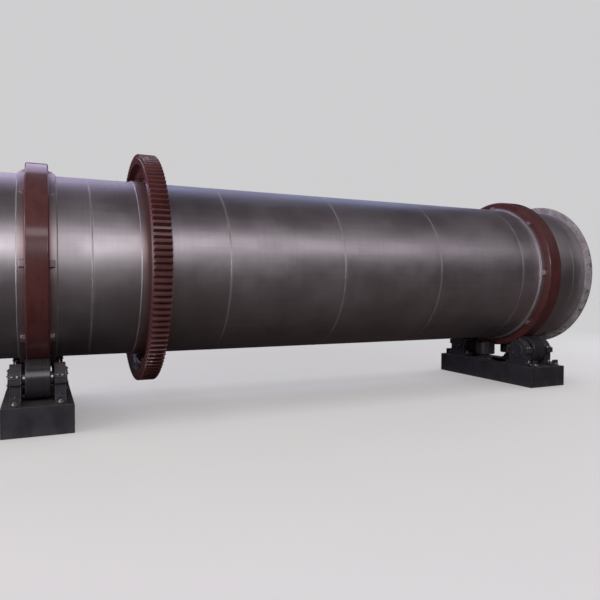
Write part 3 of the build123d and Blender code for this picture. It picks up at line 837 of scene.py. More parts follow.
def rolledCourse(node, seed):
    # A closed wall with rounded edges, of plate that was rolled and not turned. Its outside sinks by
    # ripple * (1 + wave / most) / 2, where wave is a sum of sines of lobes * turn + slant * share of length.
    x0, x1 = span(node, 0)
    outside, inside, edge = shellRadius, shellRadius - drumShell["wall"], drumShell["edge"]
    bend = edge * drumShell["edgeRound"]
    along = np.linspace(x0 + 2 * edge, x1 - 2 * edge, drumShell["acrossPlate"])
    outline = np.vstack([[[x0, inside + edge], [x0, outside - edge], [x0 + bend, outside - bend]],
                         np.stack([along, 0 * along + outside], -1),
                         [[x1 - bend, outside - bend], [x1, outside - edge], [x1, inside + edge],
                          [x1 - edge, inside], [x0 + edge, inside]]])
    turn = fullTurn(drumShell["steps"])[:, None]
    phase = np.random.default_rng(seed).uniform(0, 2 * np.pi, 4)
    part = (outline[:, 0] - x0) / (x1 - x0)
    few, some, many = drumShell["lobes"]
    slant, slantBack = drumShell["slants"]
    lesser = drumShell["lesser"]
    wave = (np.sin(few * turn + phase[0] + slant * part)
            + np.sin(some * turn + phase[1]) * np.sin(np.pi * part)
            + np.sin(many * turn + phase[2] + slantBack * part) * lesser
            + np.sin(2 * np.pi * part * drumShell["alongWaves"] + phase[3]) * lesser)
    mostWave = 2 + 2 * lesser
    sinks = (outline[:, 1] > outside - 1e-6)[None]
    radius = outline[None, :, 1] - np.where(sinks, drumShell["ripple"] * (1 + wave / mostWave) / 2, 0)
    x, y, z = outline[None, :, 0] + 0 * turn, radius * np.cos(turn), axisZ + radius * np.sin(turn)
    return gridShape(np.stack([x, y, z], -1), closeRows=True, closeCols=True)


courses = ["shell_end_left", "ring_course_left", "shell_course_1", "shell_course_2", "shell_course_3",
           "shell_course_4", "ring_course_right", "shell_end_right"]
for number, node in enumerate(courses):
    addPiece(node + "_plate", rolledCourse(node, number), silver, "drum", replaces=(node,))

# Each course has its lengthwise seam at another angle
seamWelds = {"width": 0.014, "height": 0.0016, "sink": 0.0006, "steps": 300, "longWidth": 0.0126,
             "longSink": 0.0008, "longSteps": 90, "fromEnd": 0.012,
             "angles": (2.3, 3.4, 2.1, 3.9, 2.5, 3.6, 2.2, 4.1)}
seams = []
for number, node in enumerate(courses[1:]):
    path, out = circlePath(span(node, 0)[0], shellRadius - seamWelds["sink"], seamWelds["steps"])
    seams.append(bead(path, out, seamWelds["width"], seamWelds["height"], seed=10 + number))
addPiece("drum_ring_seams", joined(seams), silverWeld, "drum")
seams = []
for number, (node, angle) in enumerate(zip(courses, seamWelds["angles"])):
    x0, x1 = span(node, 0)
    out = np.array([0, -math.cos(angle), math.sin(angle)])
    base = drumAxis + out * (shellRadius - seamWelds["longSink"])
    start, end = base + [x0 + seamWelds["fromEnd"], 0, 0], base + [x1 - seamWelds["fromEnd"], 0, 0]
    seams.append(straightBead(start, end, out, seamWelds["longWidth"], seamWelds["height"],
                              40 + number, seamWelds["longSteps"]))
addPiece("drum_long_seams", joined(seams), silverWeld, "drum")

wrapper = {"edge": 0.004, "steps": 192, "fillet": {"width": 0.016, "height": 0.00512, "off": 0.003}}
fillets = []
for side in sides:
    x0, x1 = span("wrapper_plate_" + side, 0)
    outline = rounded([(x0, shellRadius), (x0, wrapperRadius), (x1, wrapperRadius), (x1, shellRadius)],
                      [1e-4, wrapper["edge"], wrapper["edge"], 1e-4])
    addPiece("wrapper_" + side, spun(outline, drumAxis, wrapper["steps"]), silver, "drum",
             replaces=("wrapper_plate_" + side,))
    fillets += [cornerBead(x, lean, shellRadius, wrapper["fillet"], 70) for x, lean in ((x0, -1), (x1, 1))]
addPiece("wrapper_fillets", joined(fillets), silverWeld, "drum")

ridingRing = {"chamfer": 0.012, "round": 0.004, "boreGap": 0.001, "steps": 256}
for side in sides:
    x0, x1 = span("riding_ring_" + side, 0)
    c, r, bore = ridingRing["chamfer"], ridingRing["round"], wrapperRadius + ridingRing["boreGap"]
    outline = rounded([(x0, bore), (x0, ringRadius - c), (x0 + c, ringRadius), (x1 - c, ringRadius),
                       (x1, ringRadius - c), (x1, bore)], [1e-3, r, r, r, r, 1e-3])
    addPiece("ring_tyre_" + side, spun(outline, drumAxis, ridingRing["steps"]), red, "drum",
             replaces=("riding_ring_" + side,))

ringStops = {"round": 0.004, "count": 8, "arc": math.radians(3.6), "length": 0.048, "gap": 0.004,
             "off": 0.001, "fillet": 0.010, "filletHeight": 0.004}
for side in sides:
    softened("ring_stops_" + side, silver, "drum", ringStops["round"])
    welds = []
    half, off = ringStops["arc"] / 2 * wrapperRadius, ringStops["off"]
    top = axisZ + wrapperRadius + off
    size = ringStops["fillet"], ringStops["filletHeight"]
    for lean in (-1, 1):
        near = ringX[side] + lean * (ringHalf + ringStops["gap"])
        far = ringX[side] + lean * (ringHalf + ringStops["length"] + off)
        for across in (-1, 1):
            y = across * (half + off)
            welds.append(straightBead((near, y, top), (far, y, top), (0, across, 1), *size, steps=5))
        welds.append(straightBead((far, -half, top), (far, half, top), (lean, 0, 1), *size, steps=6))
    turns = fullTurn(ringStops["count"])
    addPiece("stop_welds_" + side, turnedAboutDrum(joined(welds), turns), silver, "drum")
print("drum plates and rings made")

girthGear = {"teeth": 124, "pressure": math.radians(20), "rim": 0.072, "web": 0.020, "webInner": 1.112,
             "toothChamfer": 0.004, "toothInset": 0.007, "rootFillet": 0.004, "tipRound": 0.0015,
             "tipTurn": 0.0008, "toeTurns": (0.003, 0.001), "toeRise": 0.001, "flankSteps": 5,
             "rimFillet": 0.012, "webRound": 0.002, "edge": 0.004}
gearModule = 2 * gearTip / (girthGear["teeth"] + 2)
gearRoot = gearTip - 2.25 * gearModule  # a standard tooth is 2.25 modules high
rimInner = gearRoot - girthGear["rim"]


def toothOutline():
    # One tooth in (angle, radius): root, involute flank, rounded tip, mirrored. On the flank half the width
    # is that at the pitch circle + inv(pitch) - inv(radius).
    gear, teeth = girthGear, girthGear["teeth"]
    pitch = gearModule * teeth / 2
    base = pitch * math.cos(gear["pressure"])

    def involute(radius):
        angle = np.arccos(np.clip(base / radius, -1, 1))
        return np.tan(angle) - angle

    flank = np.linspace(gearRoot + gear["rootFillet"], gearTip - gear["tipRound"], gear["flankSteps"])
    left = involute(flank) - involute(pitch) - np.pi / (2 * teeth)
    far, near = gear["toeTurns"]
    toe = [[-np.pi / teeth, gearRoot], [left[0] - far, gearRoot], [left[0] - near, gearRoot + gear["toeRise"]]]
    tip = [[left[-1] + gear["tipTurn"], gearTip], [0.0, gearTip]]
    rising = np.vstack([toe, np.stack([left, flank], -1), tip])
    return np.vstack([rising, (rising * [-1, 1])[::-1][1:-1]])


def toothedHalf(turnUp):
    # Carries the section of rim and web round half a circle. On the inside each loop keeps its radius, and on
    # the face the radius follows the tooth outline, less a chamfer near both ends.
    gear, outline = girthGear, toothOutline()
    centres = (np.arange(gear["teeth"] // 2) + 0.5) * 2 * np.pi / gear["teeth"]
    angle = np.append((centres[:, None] + outline[None, :, 0]).ravel(), np.pi)[:, None]
    tooth = np.append(np.tile(outline[:, 1], len(centres)), gearRoot)
    web, face, edge, fillet, small = gear["web"], gearHalf, gear["edge"], gear["rimFillet"], gear["webRound"]
    corners = [(-face, rimInner), (-web, rimInner), (-web, gear["webInner"]), (web, gear["webInner"]),
               (web, rimInner), (face, rimInner)]
    inner = rounded(corners, [1e-3, fillet, small, small, fillet, 1e-3], closed=False)
    inner[[0, -1], 1] += edge
    inner = np.insert(np.insert(inner, 1, [-face + edge, rimInner], 0), -1, [face - edge, rimInner], 0)
    chamfer, inset = gear["toothChamfer"], gear["toothInset"]
    outerX = np.array([face, face - chamfer, face - inset, face - inset - chamfer])
    outerX = np.concatenate([outerX, [0.0], -outerX[::-1]])
    root = gearRoot + 0 * tooth
    rising = np.stack([root - chamfer, root, np.maximum(tooth - chamfer, gearRoot), tooth], 1)
    x = np.append(inner[:, 0], outerX)[None] + 0 * angle
    radius = np.hstack([inner[None, :, 1] + 0 * angle, rising, tooth[:, None], rising[:, ::-1]])
    turned = angle + turnUp
    points = np.stack([gearX + x, radius * np.cos(turned), axisZ + radius * np.sin(turned)], -1)
    return gridShape(points, closeCols=True, capRows=True)


for node, turnUp in (("girth_gear_upper", 0.0), ("girth_gear_lower", math.pi)):
    addPiece(node + "_toothed", toothedHalf(turnUp), red, "drum", replaces=(node,))

splitFlange = {"thickness": 0.036, "outX": 0.075, "near": 1.191, "intoRim": 0.008, "intoWeb": 0.002,
               "halfGap": 0.0004, "round": 0.004, "bevel": 0.003, "bolts": 2, "boltX": 0.047, "boltTurn": 0.3,
               "nut": {"across": 0.036, "height": 0.020, "stud": 0.012, "studRadius": 0.012}}
start, end = gearX + girthGear["web"] - splitFlange["intoWeb"], gearX + splitFlange["outX"]
lugs, nuts = [], []
for across in (-1, 1):
    low, high = sorted((across * splitFlange["near"], across * (rimInner + splitFlange["intoRim"])))
    for up in (-1, 1):
        gap, tall = up * splitFlange["halfGap"], up * splitFlange["thickness"]
        outline = rounded([(low, 0), (high, 0), (high, tall), (low, tall)], splitFlange["round"])
        lugs.append(prism(outline, start, end, (0, axisZ + gap)))
        y = low + (high - low) * (np.arange(splitFlange["bolts"]) + 0.5) / splitFlange["bolts"]
        spots = np.stack([gearX + splitFlange["boltX"] + 0 * y, y, axisZ + tall + gap + 0 * y], -1)
        nuts.append(repeated(hexHead(**splitFlange["nut"]), spots, (0, 0, up), splitFlange["boltTurn"]))
addPiece("gear_split_flanges", joined(lugs), red, "drum", bevel=splitFlange["bevel"])
addPiece("gear_split_bolts", joined(nuts), gearBolt, "drum")

gearMount = {"padThickness": 0.014, "flangeThickness": 0.030, "edge": 0.003, "root": 0.008, "steps": 192,
             "bolts": 48, "boltRadius": 1.148, "head": {"across": 0.036, "height": 0.019},
             "nut": {"across": 0.036, "height": 0.0209, "stud": 0.010, "studRadius": 0.012},
             "fillet": {"width": 0.014, "height": 0.005, "off": 0.002}}
gusset = {"count": 24, "half": 0.008, "fromEnd": 0.02, "toe": 0.012, "drop": 0.030, "sink": 0.002,
          "sizes": (1e-3, 1e-3, 1e-3, 0.006, 0.004), "bevel": 0.002}
padX0, padX1 = span("gear_mounting_ring", 0)
mountTop = reach("gear_mounting_ring", 1)
padRadius = shellRadius + gearMount["padThickness"]
flangeX0 = gearX + girthGear["web"]
flangeX1 = flangeX0 + gearMount["flangeThickness"]


def mountOutline():
    # (x, radius) of the pad plate and the flange that stands on it.
    edge, root = gearMount["edge"], gearMount["root"]
    corners = [(padX0, shellRadius), (padX0, padRadius), (flangeX0, padRadius), (flangeX0, mountTop),
               (flangeX1, mountTop), (flangeX1, padRadius), (padX1, padRadius), (padX1, shellRadius)]
    return rounded(corners, [1e-4, edge, root, edge, edge, root, edge, 1e-4])


def gussetPlate():
    # A five sided plate in (x, radius), as thick as the gusset, standing at the top of the drum.
    far, near = padX1 - gusset["fromEnd"], flangeX1 - gusset["sink"]
    foot, top, toe = padRadius - gusset["sink"], mountTop - gusset["drop"], gusset["toe"]
    corners = [(far, foot), (near, foot), (near, top), (flangeX1 + toe, top), (far, padRadius + toe)]
    return prism(rounded(corners, gusset["sizes"], steps=3), -gusset["half"], gusset["half"], (0, axisZ), axis=1)


addPiece("gear_mount_ring", spun(mountOutline(), drumAxis, gearMount["steps"]), silver, "drum",
         replaces=("gear_mounting_ring",))
gussetTurns = (np.arange(gusset["count"]) + 0.5) * 2 * np.pi / gusset["count"] - np.pi / 2
addPiece("gear_mount_gussets", turnedAboutDrum(gussetPlate(), gussetTurns), silver, "drum",
         bevel=gusset["bevel"])
mountCorners = ((padX0, -1, shellRadius, 90), (padX1, 1, shellRadius, 90),
                (flangeX0, -1, padRadius, 91), (flangeX1, 1, padRadius, 91))
fillets = [cornerBead(x, lean, radius, gearMount["fillet"], seed) for x, lean, radius, seed in mountCorners]
addPiece("gear_mount_welds", joined(fillets), silverWeld, "drum")
places, turn = around(gearMount["bolts"], gearMount["boltRadius"], gearX - girthGear["web"])
addPiece("gear_web_bolts", repeated(hexHead(**gearMount["head"]), places, (-1, 0, 0), turn), red, "drum")
places, turn = around(gearMount["bolts"], gearMount["boltRadius"], flangeX1)
addPiece("gear_web_nuts", repeated(hexHead(**gearMount["nut"]), places, (1, 0, 0), turn), gearBolt, "drum")

endParts = {"flangeEdge": 0.003, "flightEdge": 0.002, "fillet": {"width": 0.014, "height": 0.005, "off": 0.002}}
for side in sides:
    softened("end_flange_" + side, flangePaint, "drum", endParts["flangeEdge"])
softened("lifting_flights", barePlate, "drum", endParts["flightEdge"])
fillets = [cornerBead(span("end_flange_left", 0)[1], 1, shellRadius, endParts["fillet"], 95),
           cornerBead(span("end_flange_right", 0)[0], -1, shellRadius, endParts["fillet"], 95)]
addPiece("end_flange_welds", joined(fillets), silverWeld, "drum")
print("girth gear, its mount and the end flanges made")


roller = {"chamfer": 0.008, "rim": 0.048, "recess": 0.045, "hub": 0.092, "bore": 0.0685, "fillet": 0.010,
          "edge": 0.004, "round": 0.003, "boreRound": 0.002, "steps": 128}
rollerShaft = {"radius": 0.050, "shoulder": 0.068, "shoulderReach": 0.0285, "chamfer": 0.003, "root": 0.004,
               "steps": 64}


def rollerOutline(x):
    # (along, radius) of a wheel with a hub, a recessed web on both faces and a chamfered tread.
    half, inner, c = rollerHalf, rollerHalf - roller["recess"], roller["chamfer"]
    bore, hub, rim, tread = roller["bore"], roller["hub"], rollerRadius - roller["rim"], rollerRadius
    fillet, edge, small = roller["fillet"], roller["edge"], roller["round"]
    right = np.array([(half - c, tread), (half, tread - c), (half, rim), (inner, rim), (inner, hub),
                      (half, hub), (half, bore)])
    sizes = [small, small, edge, fillet, fillet, edge, roller["boreRound"]]
    return rounded(np.vstack([(right * [-1, 1])[::-1], right]), sizes[::-1] + sizes) + [x, 0]


def shaftOutline(side, x0, x1):
    # (along, radius) of a shaft with a shoulder at both faces of its wheel.
    thin, thick, c, root = (rollerShaft[key] for key in ("radius", "shoulder", "chamfer", "root"))
    s0, s1 = (ringX[side] + sign * (rollerHalf + rollerShaft["shoulderReach"]) for sign in (-1, 1))
    corners = [(x0, 0), (x0, thin), (s0, thin), (s0, thick), (s1, thick), (s1, thin), (x1, thin), (x1, 0)]
    return rounded(corners, [0, c, root, c, c, root, c, 0], closed=False)


for side in sides:
    for front, sign in fronts.items():
        name = side + "_" + front
        body, centre = "support_roller_" + name, (0, sign * rollerY, rollerZ)
        wheel = spun(rollerOutline(ringX[side]), centre, roller["steps"])
        addPiece("roller_wheel_" + name, wheel, rollerFinish, body, replaces=("roller_" + name,))
        shaft = spun(shaftOutline(side, *span("roller_shaft_" + name, 0)), centre, rollerShaft["steps"])
        addPiece("roller_axle_" + name, shaft, brightSteel, body, replaces=("roller_shaft_" + name,), poles=True)


housing = {"cap": 0.160, "footHeight": 0.050, "footRound": 0.014, "earHalf": 0.038, "earReach": 0.042,
           "bore": 0.0512, "split": 0.0016, "edge": 0.004, "small": 0.002, "earRound": 0.006, "neck": 0.010,
           "ankle": 0.008, "boreSteps": 28, "capSteps": 40}
cover = {"radius": 0.112, "height": 0.016, "ring": 0.070, "dish": 0.004, "slope": 0.008, "steps": 72}
seal = {"radius": 0.082, "depth": 0.007, "slope": 0.004, "steps": 64}
coverScrews = {"count": 6, "radius": 0.092, "head": {"across": 0.018, "height": 0.009}}
capBolts = {"fromEnd": 0.030, "onEar": 0.45, "turns": 0.7, "head": {"across": 0.030, "height": 0.018}}
footBolts = {"inset": 0.036, "turns": (0.2, 0.8),
             "nut": {"across": 0.036, "height": 0.022, "stud": 0.016, "studRadius": 0.012}}
oiler = {"sink": 0.010, "foot": 0.010, "stem": 0.004, "collar": 0.00625, "collarTop": 0.014, "ball": 0.005,
         "ballLow": 0.018, "ballHigh": 0.022, "top": 0.023, "round": 0.001, "steps": 24}


def arc(radius, start, end, steps):
    # Points (y, z) = radius * (cos, sin) of even turns from start to end.
    turn = np.linspace(start, end, steps)
    return radius * np.stack([np.cos(turn), np.sin(turn)], -1)


def housingBody():
    # Lower half in (y, z) round the bearing's centre: split face, ear, upright side and foot, mirrored, and
    # half the bore.
    foot, cap, rise = housingFoot, housing["cap"], -housing["earHalf"]
    bore, small, split = housing["bore"], housing["small"], -housing["split"] / 2
    ear, bottom = cap + housing["earReach"], baseTop - rollerZ
    top = bottom + housing["footHeight"]
    corners = [(bore, split), (ear, split), (ear, rise), (cap, rise), (cap, top), (foot, top), (foot, bottom),
               (0, bottom)]
    sizes = [0, small, housing["earRound"], housing["neck"], housing["ankle"], housing["footRound"], small, 0]
    right = rounded(corners, sizes, closed=False)
    half = arc(bore, -np.pi, 0, housing["boreSteps"])[1:-1]
    half[:, 1] = np.minimum(half[:, 1], split)
    return np.vstack([right, (right * [-1, 1])[::-1][1:], half])


def housingCap():
    # Upper half: ears below the angle asin(ear / cap), the round top between them, and half the bore.
    cap, rise, bore, split = housing["cap"], housing["earHalf"], housing["bore"], housing["split"] / 2
    ear, lean = cap + housing["earReach"], math.asin(rise / cap)
    right = rounded([(bore, split), (ear, split), (ear, rise), (cap * math.cos(lean), rise)],
                    [0, housing["small"], housing["earRound"], 0], closed=False)
    half = arc(bore, np.pi, 0, housing["boreSteps"])[1:-1]
    half[:, 1] = np.maximum(half[:, 1], split)
    top = arc(cap, lean, np.pi - lean, housing["capSteps"])[1:-1]
    return np.vstack([right, top, (right * [-1, 1])[::-1], half])


def coverOutline():
    # (along, radius) of a round cover whose face is dished inside a ring.
    high, wide, ring, dish = cover["height"], cover["radius"], cover["ring"], cover["height"] - cover["dish"]
    return rounded([(0, 0), (0, wide), (high, wide), (high, ring), (dish, ring - cover["slope"]), (dish, 0)],
                   [0, 0.001, 0.004, 0.002, 0.003, 0], closed=False)


def sealOutline():
    # (along, radius) of a flat ring round the bore with a sloped rim.
    bore, wide, depth = housing["bore"], seal["radius"], seal["depth"]
    return rounded([(0, bore), (0, wide), (depth, wide - seal["slope"]), (depth, bore)],
                   [5e-4, 5e-4, 0.002, 0.001])


def oilerOutline():
    # (height, radius) of a grease nipple: foot, stem with a collar, and ball.
    o = oiler
    corners = [(-o["sink"], 0), (-o["sink"], o["foot"]), (o["stem"], o["foot"]), (o["stem"], o["collar"]),
               (o["collarTop"], o["collar"]), (o["ballLow"], o["ball"]), (o["ballHigh"], o["ball"]),
               (o["top"], 0)]
    return rounded(corners, [0, *[o["round"]] * 6, 0], closed=False, steps=2)


def addHousing(node, centre, hand):
    # Two castings, a dished cover away from the roller, a seal towards it, bolts on ears and feet, and an
    # oiler. Hand tells which way along X the roller lies from it.
    x0, x1 = span(node, 0)
    near, far = (x0, x1 - cover["height"]) if hand > 0 else (x1, x0 + cover["height"])
    start, end = sorted((near, far))
    centreX, (y, z) = (start + end) / 2, centre
    halves = joined([prism(housingBody(), start, end, centre), prism(housingCap(), start, end, centre)])
    addPiece(node + "_cast", halves, castPaint, "stations", bevel=housing["edge"], replaces=(node,))
    covers = joined([spun(coverOutline() * [hand, 1] + [far, 0], (0, y, z), cover["steps"]),
                     spun(sealOutline() * [-hand, 1] + [near, 0], (0, y, z), seal["steps"])])
    addPiece(node + "_cover", covers, castPaint, "stations", poles=True)
    spots, turn = around(coverScrews["count"], coverScrews["radius"], far + hand * cover["height"], centre)
    screws = repeated(hexHead(**coverScrews["head"]), spots, (hand, 0, 0), turn)
    earY, earTop = housing["cap"] + housing["earReach"] * capBolts["onEar"], z + housing["earHalf"]
    ends = start + capBolts["fromEnd"], end - capBolts["fromEnd"]
    spots = [(x, y + across, earTop) for x in ends for across in (-earY, earY)]
    caps = repeated(hexHead(**capBolts["head"]), spots, (0, 0, 1), np.arange(4) * capBolts["turns"])
    footY, footTop = housingFoot - footBolts["inset"], baseTop + housing["footHeight"]
    spots = [(centreX, y + across, footTop) for across in (-footY, footY)]
    feet = repeated(hexHead(**footBolts["nut"]), spots, (0, 0, 1), footBolts["turns"])
    addPiece(node + "_bolts", joined([screws, caps, feet]), stationBolt, "stations")
    nipple = spun(oilerOutline(), (centreX, y, z + housing["cap"]), oiler["steps"], "z")
    addPiece(node + "_oiler", nipple, brightSteel, "stations", poles=True)


for side, outward in sides.items():
    for front, sign in fronts.items():
        for place, hand in (("outer", outward), ("inner", -outward)):
            addHousing("bearing_" + side + "_" + front + "_" + place, (sign * rollerY, rollerZ), hand)
print("rollers and bearing housings made")


stationBase = {"edge": 0.004, "weld": (0.012, 0.0025), "off": 0.002, "from": 0.01, "below": 0.006, "steps": 40}
screw = {"radius": 0.015, "pitch": 0.0035, "depth": 0.0018, "rows": 5, "facets": 16, "point": 0.003,
         "pointShare": 0.20, "foot": 0.025, "tail": 0.020, "nutGap": 0.026, "nutTurn": 0.4}
screwNut = {"across": 0.046, "height": 0.020, "washer": (0.028, 0.004), "stud": 0.0005, "studRadius": 0.015}
screwX = middle("bearing_right_back_outer", 0) - cover["height"] / 2 - ringX["right"]  # middle of a casting


def threadedRod(length):
    # Radius falls by the thread's depth as a triangle wave of (height / pitch - turn), so the ridge climbs as
    # a helix.
    z = np.linspace(0, length, int(length / screw["pitch"] * screw["rows"]))[:, None]
    turn = fullTurn(screw["facets"])[None]
    wave = np.abs((z / screw["pitch"] - turn / (2 * np.pi)) % 1 - 0.5) * 2
    end = np.clip(np.minimum(z, length - z) / screw["point"], 0, 1)
    radius = (screw["radius"] - screw["depth"] * wave) * (1 - screw["pointShare"] + screw["pointShare"] * end)
    points = np.stack([radius * np.cos(turn), radius * np.sin(turn), z + 0 * turn], -1)
    return gridShape(points, closeCols=True, capRows=True)


def addAdjusters(side):
    # Four screws that push on the housings' feet, each with two nuts that face away from each other.
    node = "adjusting_screws_" + side
    near, far = rollerY + housingFoot, reach(node, 1)
    nutY = far - screw["tail"] - screwNut["height"] - screwNut["washer"][1]
    rod, nut = threadedRod(far - near), hexHead(**screwNut)

    def placed(shape, y, way, spin=0.0):
        spots = [(ringX[side] + x, y, baseTop + screw["foot"]) for x in (-screwX, screwX)]
        return repeated(shape, spots, (0, way, 0), spin)

    rods = [placed(rod, sign * near, sign) for sign in (-1, 1)]
    nuts = [placed(nut, sign * y, sign * way, screw["nutTurn"]) for sign in (-1, 1)
            for y, way in ((nutY, 1), (nutY - screw["nutGap"], -1))]
    addPiece("adjusters_" + side, joined(rods + nuts), brightSteel, "stations", replaces=(node,))


for side in sides:
    node = "station_base_" + side
    softened(node, station, "stations", stationBase["edge"])
    off, low, high = stationBase["off"], stationBase["from"], baseTop - stationBase["below"]
    welds = []
    for x, leanX in zip(span(node, 0), (-1, 1)):
        for y, leanY in zip(span(node, 1), (-1, 1)):
            x1, y1 = x - leanX * off, y - leanY * off
            welds.append(straightBead((x1, y1, low), (x1, y1, high), (leanX, leanY, 0), *stationBase["weld"],
                                      seed=5, steps=stationBase["steps"]))
    addPiece(node + "_welds", joined(welds), stationWeld, "stations")
    addAdjusters(side)


thrust = {"hub": 0.070, "recess": 0.028, "rim": 0.044, "chamfer": 0.008, "bore": 0.0365, "edge": 0.003,
          "fillet": 0.008, "boreRound": 0.001, "steps": 96}
thrustStand = {"edge": 0.003, "plate": 0.024, "boltY": 0.108, "turn": 0.3,
               "head": {"across": 0.030, "height": 0.016}}


def thrustOutline(z0, z1, tread):
    # (height, radius) of a wheel with a hub below, a recessed web on both faces and a chamfered tread.
    hub, rim, bore, c = thrust["hub"], tread - thrust["rim"], thrust["bore"], thrust["chamfer"]
    low, high = z0 + thrust["recess"], z1 - thrust["recess"]
    corners = [(z0, bore), (z0, hub), (low, hub), (low, rim), (z0, rim), (z0, tread - c), (z0 + c, tread),
               (z1 - c, tread), (z1, tread - c), (z1, rim), (high, rim), (high, bore)]
    edge, fillet, end = thrust["edge"], thrust["fillet"], thrust["boreRound"]
    return rounded(corners, [end, edge, fillet, fillet, *[edge] * 6, fillet, end])


for place in ("inner", "outer"):
    node, stand = "thrust_roller_" + place, "thrust_stand_" + place
    wheel = spun(thrustOutline(*span(node, 2), reach(node, 0)), (middle(node, 0), 0, 0), thrust["steps"], "z")
    addPiece(node + "_wheel", wheel, rollerFinish, "thrust_" + place, replaces=(node,))
    softened(stand, station, "stations", thrustStand["edge"])
    x, z = middle(stand, 0), baseTop + thrustStand["plate"]
    spots = [(x, sign * thrustStand["boltY"], z) for sign in (-1, 1)]
    heads = repeated(hexHead(**thrustStand["head"]), spots, (0, 0, 1), thrustStand["turn"])
    addPiece("thrust_stand_bolts_" + place, heads, stationBolt, "stations")
print("stations made")


studio = {"floor": (0.44, 0.435, 0.43), "floorPatch": 0.93, "patchNoise": (0.8, 6.0, 0.6),
          "patchRange": (0.3, 0.7), "patchShare": 0.35, "floorRoughness": 0.80, "floorHalf": 60.0,
          "floorGlow": (0.475, 0.472, 0.468), "world": (0.62, 0.62, 0.63), "fill": (0.024, 0.016, 0.018),
          "fade": (5.5, 13.0), "paintedShadowReach": 1.1, "contactShade": 0.50}
# What the drum sees of the floor: a dim floor with a painted pool of light, brighter between two places along X
floorSeen = {"colour": (0.087, 0.061, 0.048), "x": (-4.5, 2.5), "shares": (0.36, 1.35)}


def scaled(colour, factor):
    return tuple(factor * channel for channel in colour)


def makeFloor():
    # A flat 3 x 3 grid. The camera sees a pale glow with a painted contact shadow near the object, which
    # fades into the backdrop. Every other ray sees the dim floor that the drum mirrors, painted brighter along
    # X.
    grid = np.linspace(-studio["floorHalf"], studio["floorHalf"], 3)
    points = np.stack([*np.meshgrid(grid, grid, indexing="ij"), np.zeros((3, 3))], -1)
    mesh = makeMesh("floor", gridShape(points))
    material, nodes, shader = newFinish("paleFloor")
    noise = nodes.noise(*studio["patchNoise"])
    patches = nodes.ramp(noise, *studio["patchRange"], (0.0, studio["patchShare"]))
    pale = nodes.mix(patches, studio["floor"], scaled(studio["floor"], studio["floorPatch"]))
    seen = nodes.put("LightPath").outputs["Is Camera Ray"]
    away = nodes.put("VectorMath", {"operation": "LENGTH"}, {0: nodes.place()}).outputs["Value"]
    far = nodes.ramp(away, *studio["fade"])
    dim, bright = (scaled(floorSeen["colour"], share) for share in floorSeen["shares"])
    # Painted light: the floor that the drum mirrors is painted brighter towards +X.
    mirrored = nodes.mix(nodes.ramp(nodes.split(nodes.place())["X"], *floorSeen["x"]), dim, bright)
    colour = nodes.mix(seen, mirrored, nodes.mix(far, pale, (0.0, 0.0, 0.0)))
    nodes.wire(shader, colour, 0.0, studio["floorRoughness"])
    # Painted contact shadow: ambient occlusion darkens the floor's glow near the object.
    near = nodes.put("AmbientOcclusion", {"samples": 8}, {"Distance": studio["paintedShadowReach"]}).outputs["AO"]
    glowWithPaintedShadow = nodes.mix(near, scaled(studio["floorGlow"], studio["contactShade"]), studio["floorGlow"])
    nodes.feed(shader.inputs["Emission Color"], nodes.mix(far, glowWithPaintedShadow, studio["world"]))
    nodes.feed(shader.inputs["Emission Strength"], seen)
    mesh.materials.append(material)
    floor = bpy.data.objects.new("floor", mesh)
    bpy.context.scene.collection.objects.link(floor)


def makeWorld():
    # The camera sees a pale backdrop, and the object gets only a faint fill from all around.
    world = bpy.data.worlds.new("studio")
    bpy.context.scene.world = world
    world.use_nodes = True
    world.node_tree.nodes.clear()
    nodes = Nodes(world.node_tree)
    seen = nodes.put("Background", None, {"Color": studio["world"], "Strength": 1.0})
    fill = nodes.put("Background", None, {"Color": studio["fill"], "Strength": 1.0})
    toCamera = nodes.put("LightPath").outputs["Is Camera Ray"]
    mixed = nodes.put("MixShader", None, {0: toCamera, 1: fill.outputs[0], 2: seen.outputs[0]})
    nodes.put("OutputWorld", None, {"Surface": mixed.outputs[0]})


makeFloor()
makeWorld()

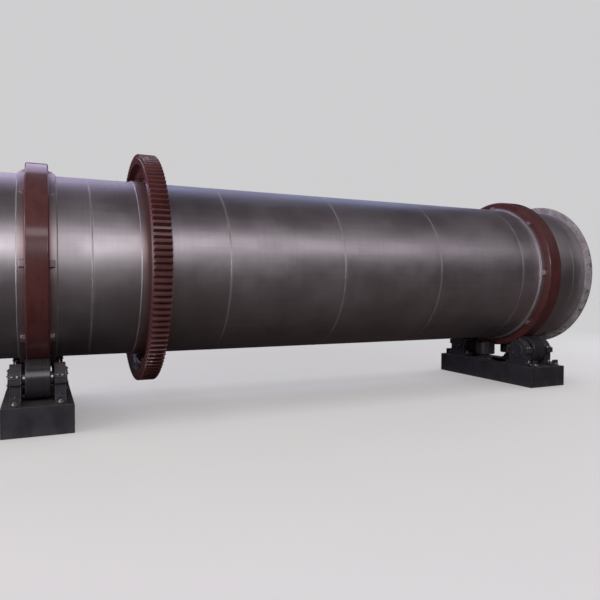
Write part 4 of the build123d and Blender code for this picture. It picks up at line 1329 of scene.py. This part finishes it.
# Upright sheets of light: place of the middle, width and height, turn about Z from looking at +Y, radiance
lamps = {
    "right": {"place": (14.0, 2.5, 5.0), "size": (9.0, 7.0), "turn": 90, "radiance": (1.9, 1.8, 1.9)},
    "left": {"place": (-14.0, -4.5, 5.0), "size": (12.0, 8.0), "turn": -90, "radiance": (3.0, 2.7, 2.9)},
    "frontFarLeft": {"place": (-6.0, -11.5, 5.76), "size": (3.0, 2.3), "turn": 0,
                     "radiance": (7.6, 7.1, 7.4)},
    "frontNearLeft": {"place": (-2.32, -11.5, 5.76), "size": (0.86, 2.3), "turn": 0,
                      "radiance": (15.2, 13.9, 14.2)},
    "frontTop": {"place": (3.8, -11.5, 9.41), "size": (18.0, 2.36), "turn": 0,
                 "radiance": (3.34, 3.02, 3.22)},
    "backLeft": {"place": (-6.1, 11.5, 16.0), "size": (10.9, 14.0), "turn": 180,
                 "radiance": (1.33, 1.17, 1.71)},
    "backRight": {"place": (7.5, 11.5, 14.1), "size": (14.6, 10.7), "turn": 180,
                  "radiance": (0.56, 0.63, 1.00)},
}
for name, lamp in lamps.items():
    data = bpy.data.lights.new(name, "AREA")
    data.shape = "RECTANGLE"
    data.size, data.size_y = lamp["size"]
    brightest = max(lamp["radiance"])
    data.energy = brightest * math.pi * lamp["size"][0] * lamp["size"][1]
    data.color = scaled(lamp["radiance"], 1 / brightest)
    light = bpy.data.objects.new(name, data)
    light.matrix_world = (Matrix.Translation(lamp["place"])
                          @ Matrix.Rotation(math.radians(lamp["turn"]), 4, "Z")
                          @ Matrix.Rotation(math.pi / 2, 4, "X"))
    light.visible_camera = False
    bpy.context.scene.collection.objects.link(light)

view = {"place": (ringX["left"] + 0.025, -7.271, axisZ - 0.219), "yaw": math.radians(24.70),
        "pitch": math.radians(1.38), "roll": math.radians(0.18), "lens": 33.92, "sensor": 36.0,
        "farthest": 300.0}
cameraData = bpy.data.cameras.new("camera")
cameraData.lens = view["lens"]
cameraData.sensor_width = view["sensor"]
cameraData.clip_end = view["farthest"]
camera = bpy.data.objects.new("camera", cameraData)
camera.matrix_world = (Matrix.Translation(view["place"]) @ Matrix.Rotation(-view["yaw"], 4, "Z")
                       @ Matrix.Rotation(math.pi / 2 - view["pitch"], 4, "X")
                       @ Matrix.Rotation(view["roll"], 4, "Z"))
bpy.context.scene.collection.objects.link(camera)
bpy.context.scene.camera = camera
bpy.context.scene.view_settings.view_transform = "Standard"
print("floor, light and camera set")
